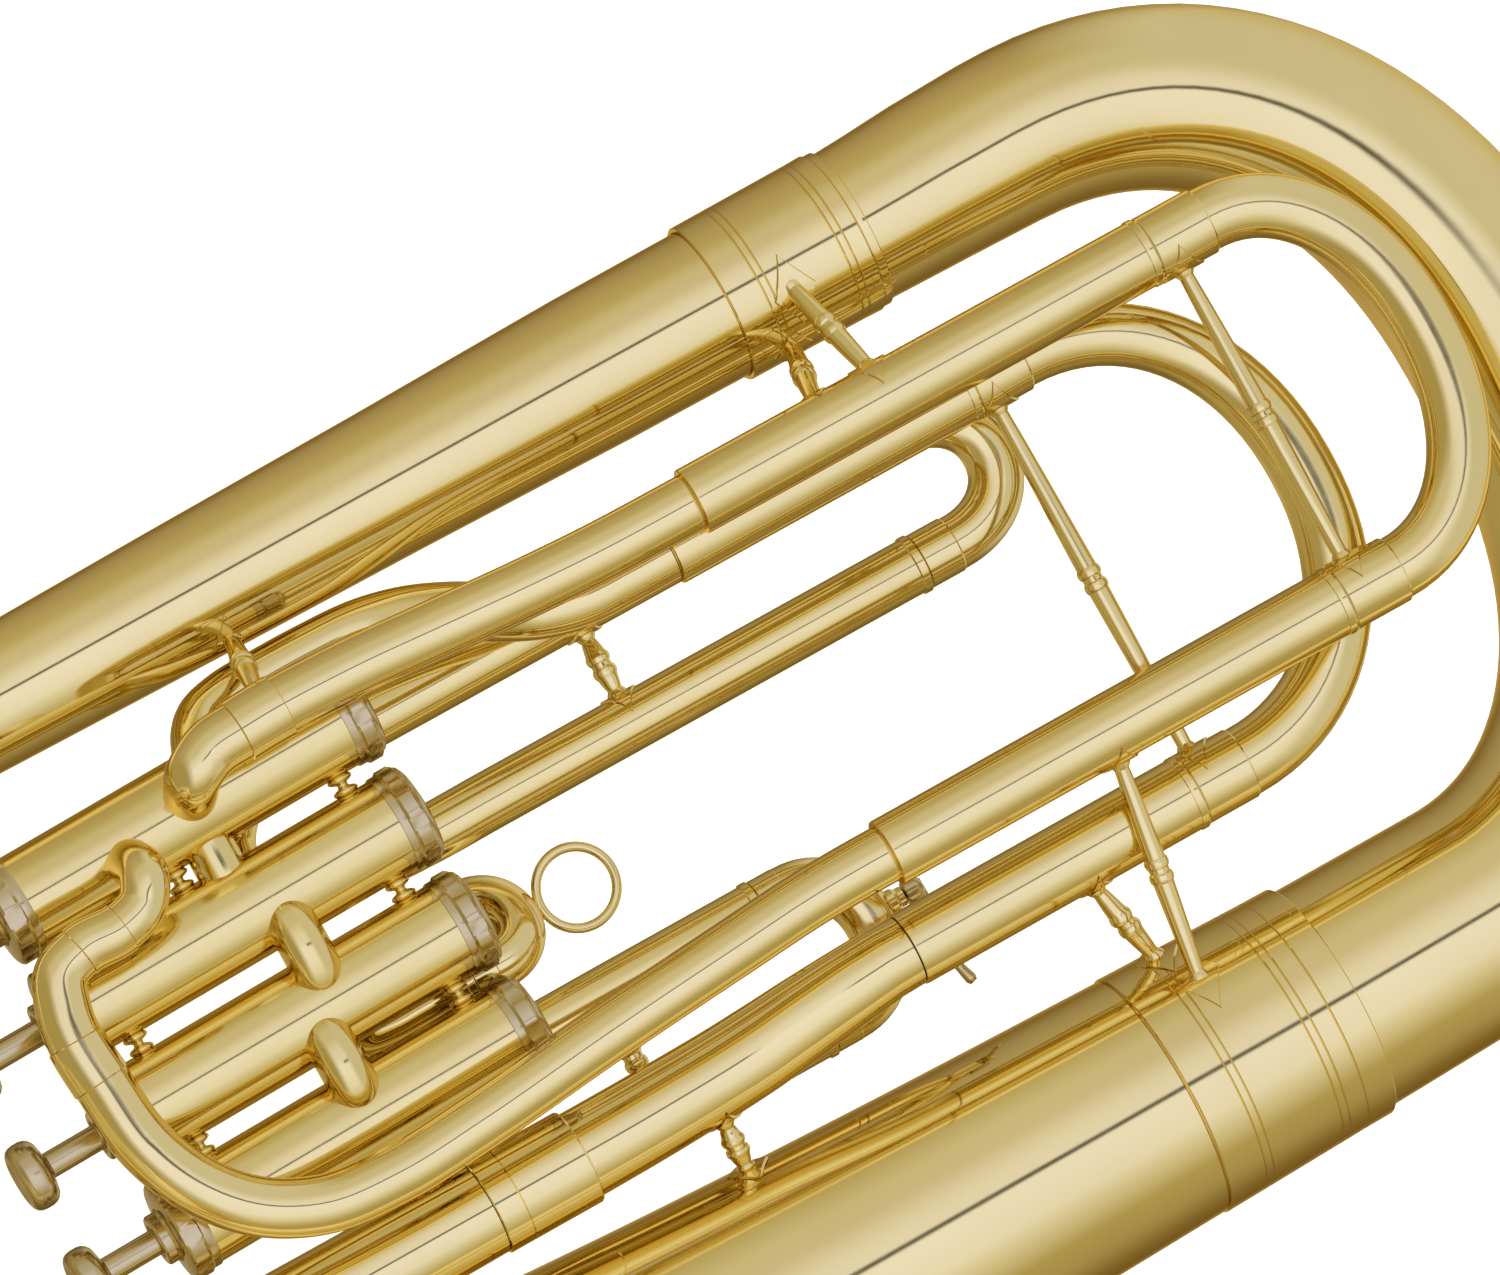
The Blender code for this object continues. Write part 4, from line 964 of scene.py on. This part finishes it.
# ---- studio ----------------------------------------------
AROUND = [               # colour of the studio wall by angle from the front, degrees towards +X
    (-180, (0.60, 0.51, 0.36)),
    (-166, (0.40, 0.32, 0.18)),
    (-150, (0.20, 0.145, 0.06)),
    (-128, (0.25, 0.18, 0.08)),
    (-97, (0.42, 0.35, 0.18)),
    (-74, (0.48, 0.40, 0.20)),
    (-53, (0.70, 0.66, 0.60)),
    (-35, (0.88, 0.88, 1.10)),
    (-17, (0.92, 0.93, 1.28)),
    (-4, (0.94, 0.95, 1.30)),
    (4, (0.86, 0.86, 1.12)),
    (17, (0.82, 0.81, 0.98)),
    (35, (0.67, 0.62, 0.60)),
    (53, (0.64, 0.60, 0.52)),
    (74, (0.52, 0.45, 0.27)),
    (97, (0.47, 0.39, 0.24)),
    (128, (0.36, 0.30, 0.21)),
    (153, (0.24, 0.18, 0.10)),
    (166, (0.40, 0.32, 0.18)),
    (180, (0.60, 0.51, 0.36)),
]
GAP = [(-1.9, 0.0), (-1.2, 1.0), (1.2, 1.0), (1.9, 0.0)]     # darkness between the front panels, by angle
GAP_HEIGHT = [(-0.52, 0.0), (-0.40, 1.0), (-0.08, 1.0), (0.04, 0.0)]    # and by the sine of the height
GAP_COLOUR = (0.05, 0.04, 0.01)
CEILING = (0.42, 0.35, 0.18)
GROUND = (0.66, 0.64, 0.64)


def share_between(nodes, links, value, low, high):
    """How far a value has come from low to high, from 0 to 1."""
    share = nodes.new("ShaderNodeMapRange")
    share.inputs["From Min"].default_value = low
    share.inputs["From Max"].default_value = high
    links.new(value, share.inputs["Value"])
    return share.outputs["Result"]


def mix_in(nodes, links, base, colour, amount):
    """A base colour with another one mixed in by an amount from 0 to 1."""
    mix = nodes.new("ShaderNodeMix")
    mix.data_type = "RGBA"
    mix.inputs["B"].default_value = (*colour, 1.0)
    links.new(amount, mix.inputs["Factor"])
    links.new(base, mix.inputs["A"])
    return mix.outputs["Result"]


def combine(nodes, links, operation, first, second):
    """The result of a maths node on two values, each a number or a socket."""
    step = nodes.new("ShaderNodeMath")
    step.operation = operation
    for socket, value in zip(step.inputs, (first, second)):
        if isinstance(value, float):
            socket.default_value = value
        else:
            links.new(value, socket)
    return step.outputs[0]


def add_world():
    """A studio of soft walls: wide white panels in front with a narrow dark gap, warm darker walls at
    the sides and behind, a dim ceiling and a pale floor. The camera itself sees plain white."""
    world = bpy.data.worlds.new("studio")
    bpy.context.scene.world = world
    world.use_nodes = True
    nodes = world.node_tree.nodes
    links = world.node_tree.links
    nodes.clear()
    place = nodes.new("ShaderNodeTexCoord")
    split = nodes.new("ShaderNodeSeparateXYZ")
    links.new(place.outputs["Generated"], split.inputs["Vector"])
    height = split.outputs["Z"]
    front = combine(nodes, links, "MULTIPLY", split.outputs["Y"], -1.0)
    angle = combine(nodes, links, "ARCTAN2", split.outputs["X"], front)
    turn = share_between(nodes, links, angle, -math.pi, math.pi)
    rise = share_between(nodes, links, height, -1.0, 1.0)

    wall = add_ramp(nodes, [((degrees + 180) / 360, colour) for degrees, colour in AROUND])
    gap = add_ramp(nodes, [((degrees + 180) / 360, (dark,) * 3) for degrees, dark in GAP])
    reach = add_ramp(nodes, [((z + 1) / 2, (dark,) * 3) for z, dark in GAP_HEIGHT])
    links.new(turn, wall.inputs["Fac"])
    links.new(turn, gap.inputs["Fac"])
    links.new(rise, reach.inputs["Fac"])
    dark = combine(nodes, links, "MULTIPLY", gap.outputs["Color"], reach.outputs["Color"])
    light = mix_in(nodes, links, wall.outputs["Color"], GAP_COLOUR, dark)
    light = mix_in(nodes, links, light, CEILING, share_between(nodes, links, height, 0.45, 0.75))
    light = mix_in(nodes, links, light, GROUND, share_between(nodes, links, height, -0.27, -0.55))

    lit = nodes.new("ShaderNodeBackground")
    links.new(light, lit.inputs["Color"])
    plain = nodes.new("ShaderNodeBackground")
    plain.inputs["Color"].default_value = (1.0, 1.0, 1.0, 1.0)
    seen = nodes.new("ShaderNodeLightPath")
    either = nodes.new("ShaderNodeMixShader")
    links.new(seen.outputs["Is Camera Ray"], either.inputs["Fac"])
    links.new(lit.outputs[0], either.inputs[1])
    links.new(plain.outputs[0], either.inputs[2])
    out = nodes.new("ShaderNodeOutputWorld")
    links.new(either.outputs[0], out.inputs["Surface"])


def add_floor():
    material = bpy.data.materials.new("pale_floor")
    material.use_nodes = True
    nodes = material.node_tree.nodes
    shader = nodes["Principled BSDF"]
    shader.inputs["Roughness"].default_value = 0.9
    shader.inputs["Emission Color"].default_value = (1.0, 1.0, 1.0, 1.0)
    shader.inputs["Emission Strength"].default_value = 0.85
    grain = nodes.new("ShaderNodeTexNoise")
    grain.inputs["Scale"].default_value = 3.0
    tone = add_ramp(nodes, ((0.0, (0.90, 0.90, 0.89)), (1.0, (0.94, 0.94, 0.93))))
    material.node_tree.links.new(grain.outputs["Fac"], tone.inputs["Fac"])
    material.node_tree.links.new(tone.outputs["Color"], shader.inputs["Base Color"])
    bm = bmesh.new()
    bmesh.ops.create_grid(bm, x_segments=4, y_segments=4, size=9.0)
    mesh = bpy.data.meshes.new("floor")
    bm.to_mesh(mesh)
    bm.free()
    mesh.materials.append(material)
    floor = bpy.data.objects.new("floor", mesh)
    bpy.context.scene.collection.objects.link(floor)
    floor.visible_glossy = False


def add_light(name, place, target, size, power):
    data = bpy.data.lights.new(name, "AREA")
    data.shape = "RECTANGLE"
    data.size, data.size_y = size
    data.energy = power
    light = bpy.data.objects.new(name, data)
    bpy.context.scene.collection.objects.link(light)
    light.location = place
    light.visible_glossy = False
    light.rotation_mode = "QUATERNION"
    light.rotation_quaternion = (Vector(target) - Vector(place)).to_track_quat("-Z", "Y")


def add_camera():
    """A long lens a little above the instrument, rolled so that the tubes run up to the right."""
    data = bpy.data.cameras.new("camera")
    data.sensor_width = 36.0
    data.lens = 288.0
    data.clip_end = 50.0
    camera = bpy.data.objects.new("camera", data)
    bpy.context.scene.collection.objects.link(camera)
    tilt = math.radians(11.48)
    roll = math.radians(61.0)
    distance = 3.0
    target = Vector((36.9, -15.0, 240.6)) * MM
    back = Vector((0, -math.cos(tilt), math.sin(tilt)))
    upright = Vector((0, math.sin(tilt), math.cos(tilt)))
    sideways = Vector((1, 0, 0))
    right = -sideways * math.cos(roll) - upright * math.sin(roll)
    up = sideways * math.sin(roll) - upright * math.cos(roll)
    turn = Matrix((right, up, back)).transposed()
    camera.matrix_world = Matrix.Translation(target + back * distance) @ turn.to_4x4()
    bpy.context.scene.camera = camera


def build():
    for number in (1, 2, 3, 4):
        add_valve(number)
        add_spring(number)
    add_casing_stays()
    add_knuckles()
    add_bell()
    add_bottom_bow()
    add_outer_branch()
    add_top_bow()
    add_small_branch()
    add_main_slide()
    add_main_neck()
    add_fourth_loop()
    add_first_slide()
    add_second_slide()
    add_third_slide()
    add_leadpipe()
    add_water_key()
    add_braces()
    add_world()
    add_floor()
    add_light("overhead", (0.0, 0.2, 2.2), (0, 0, 0.2), (1.8, 1.8), 26.0)
    add_camera()
    bpy.context.scene.view_settings.view_transform = "Standard"


build()
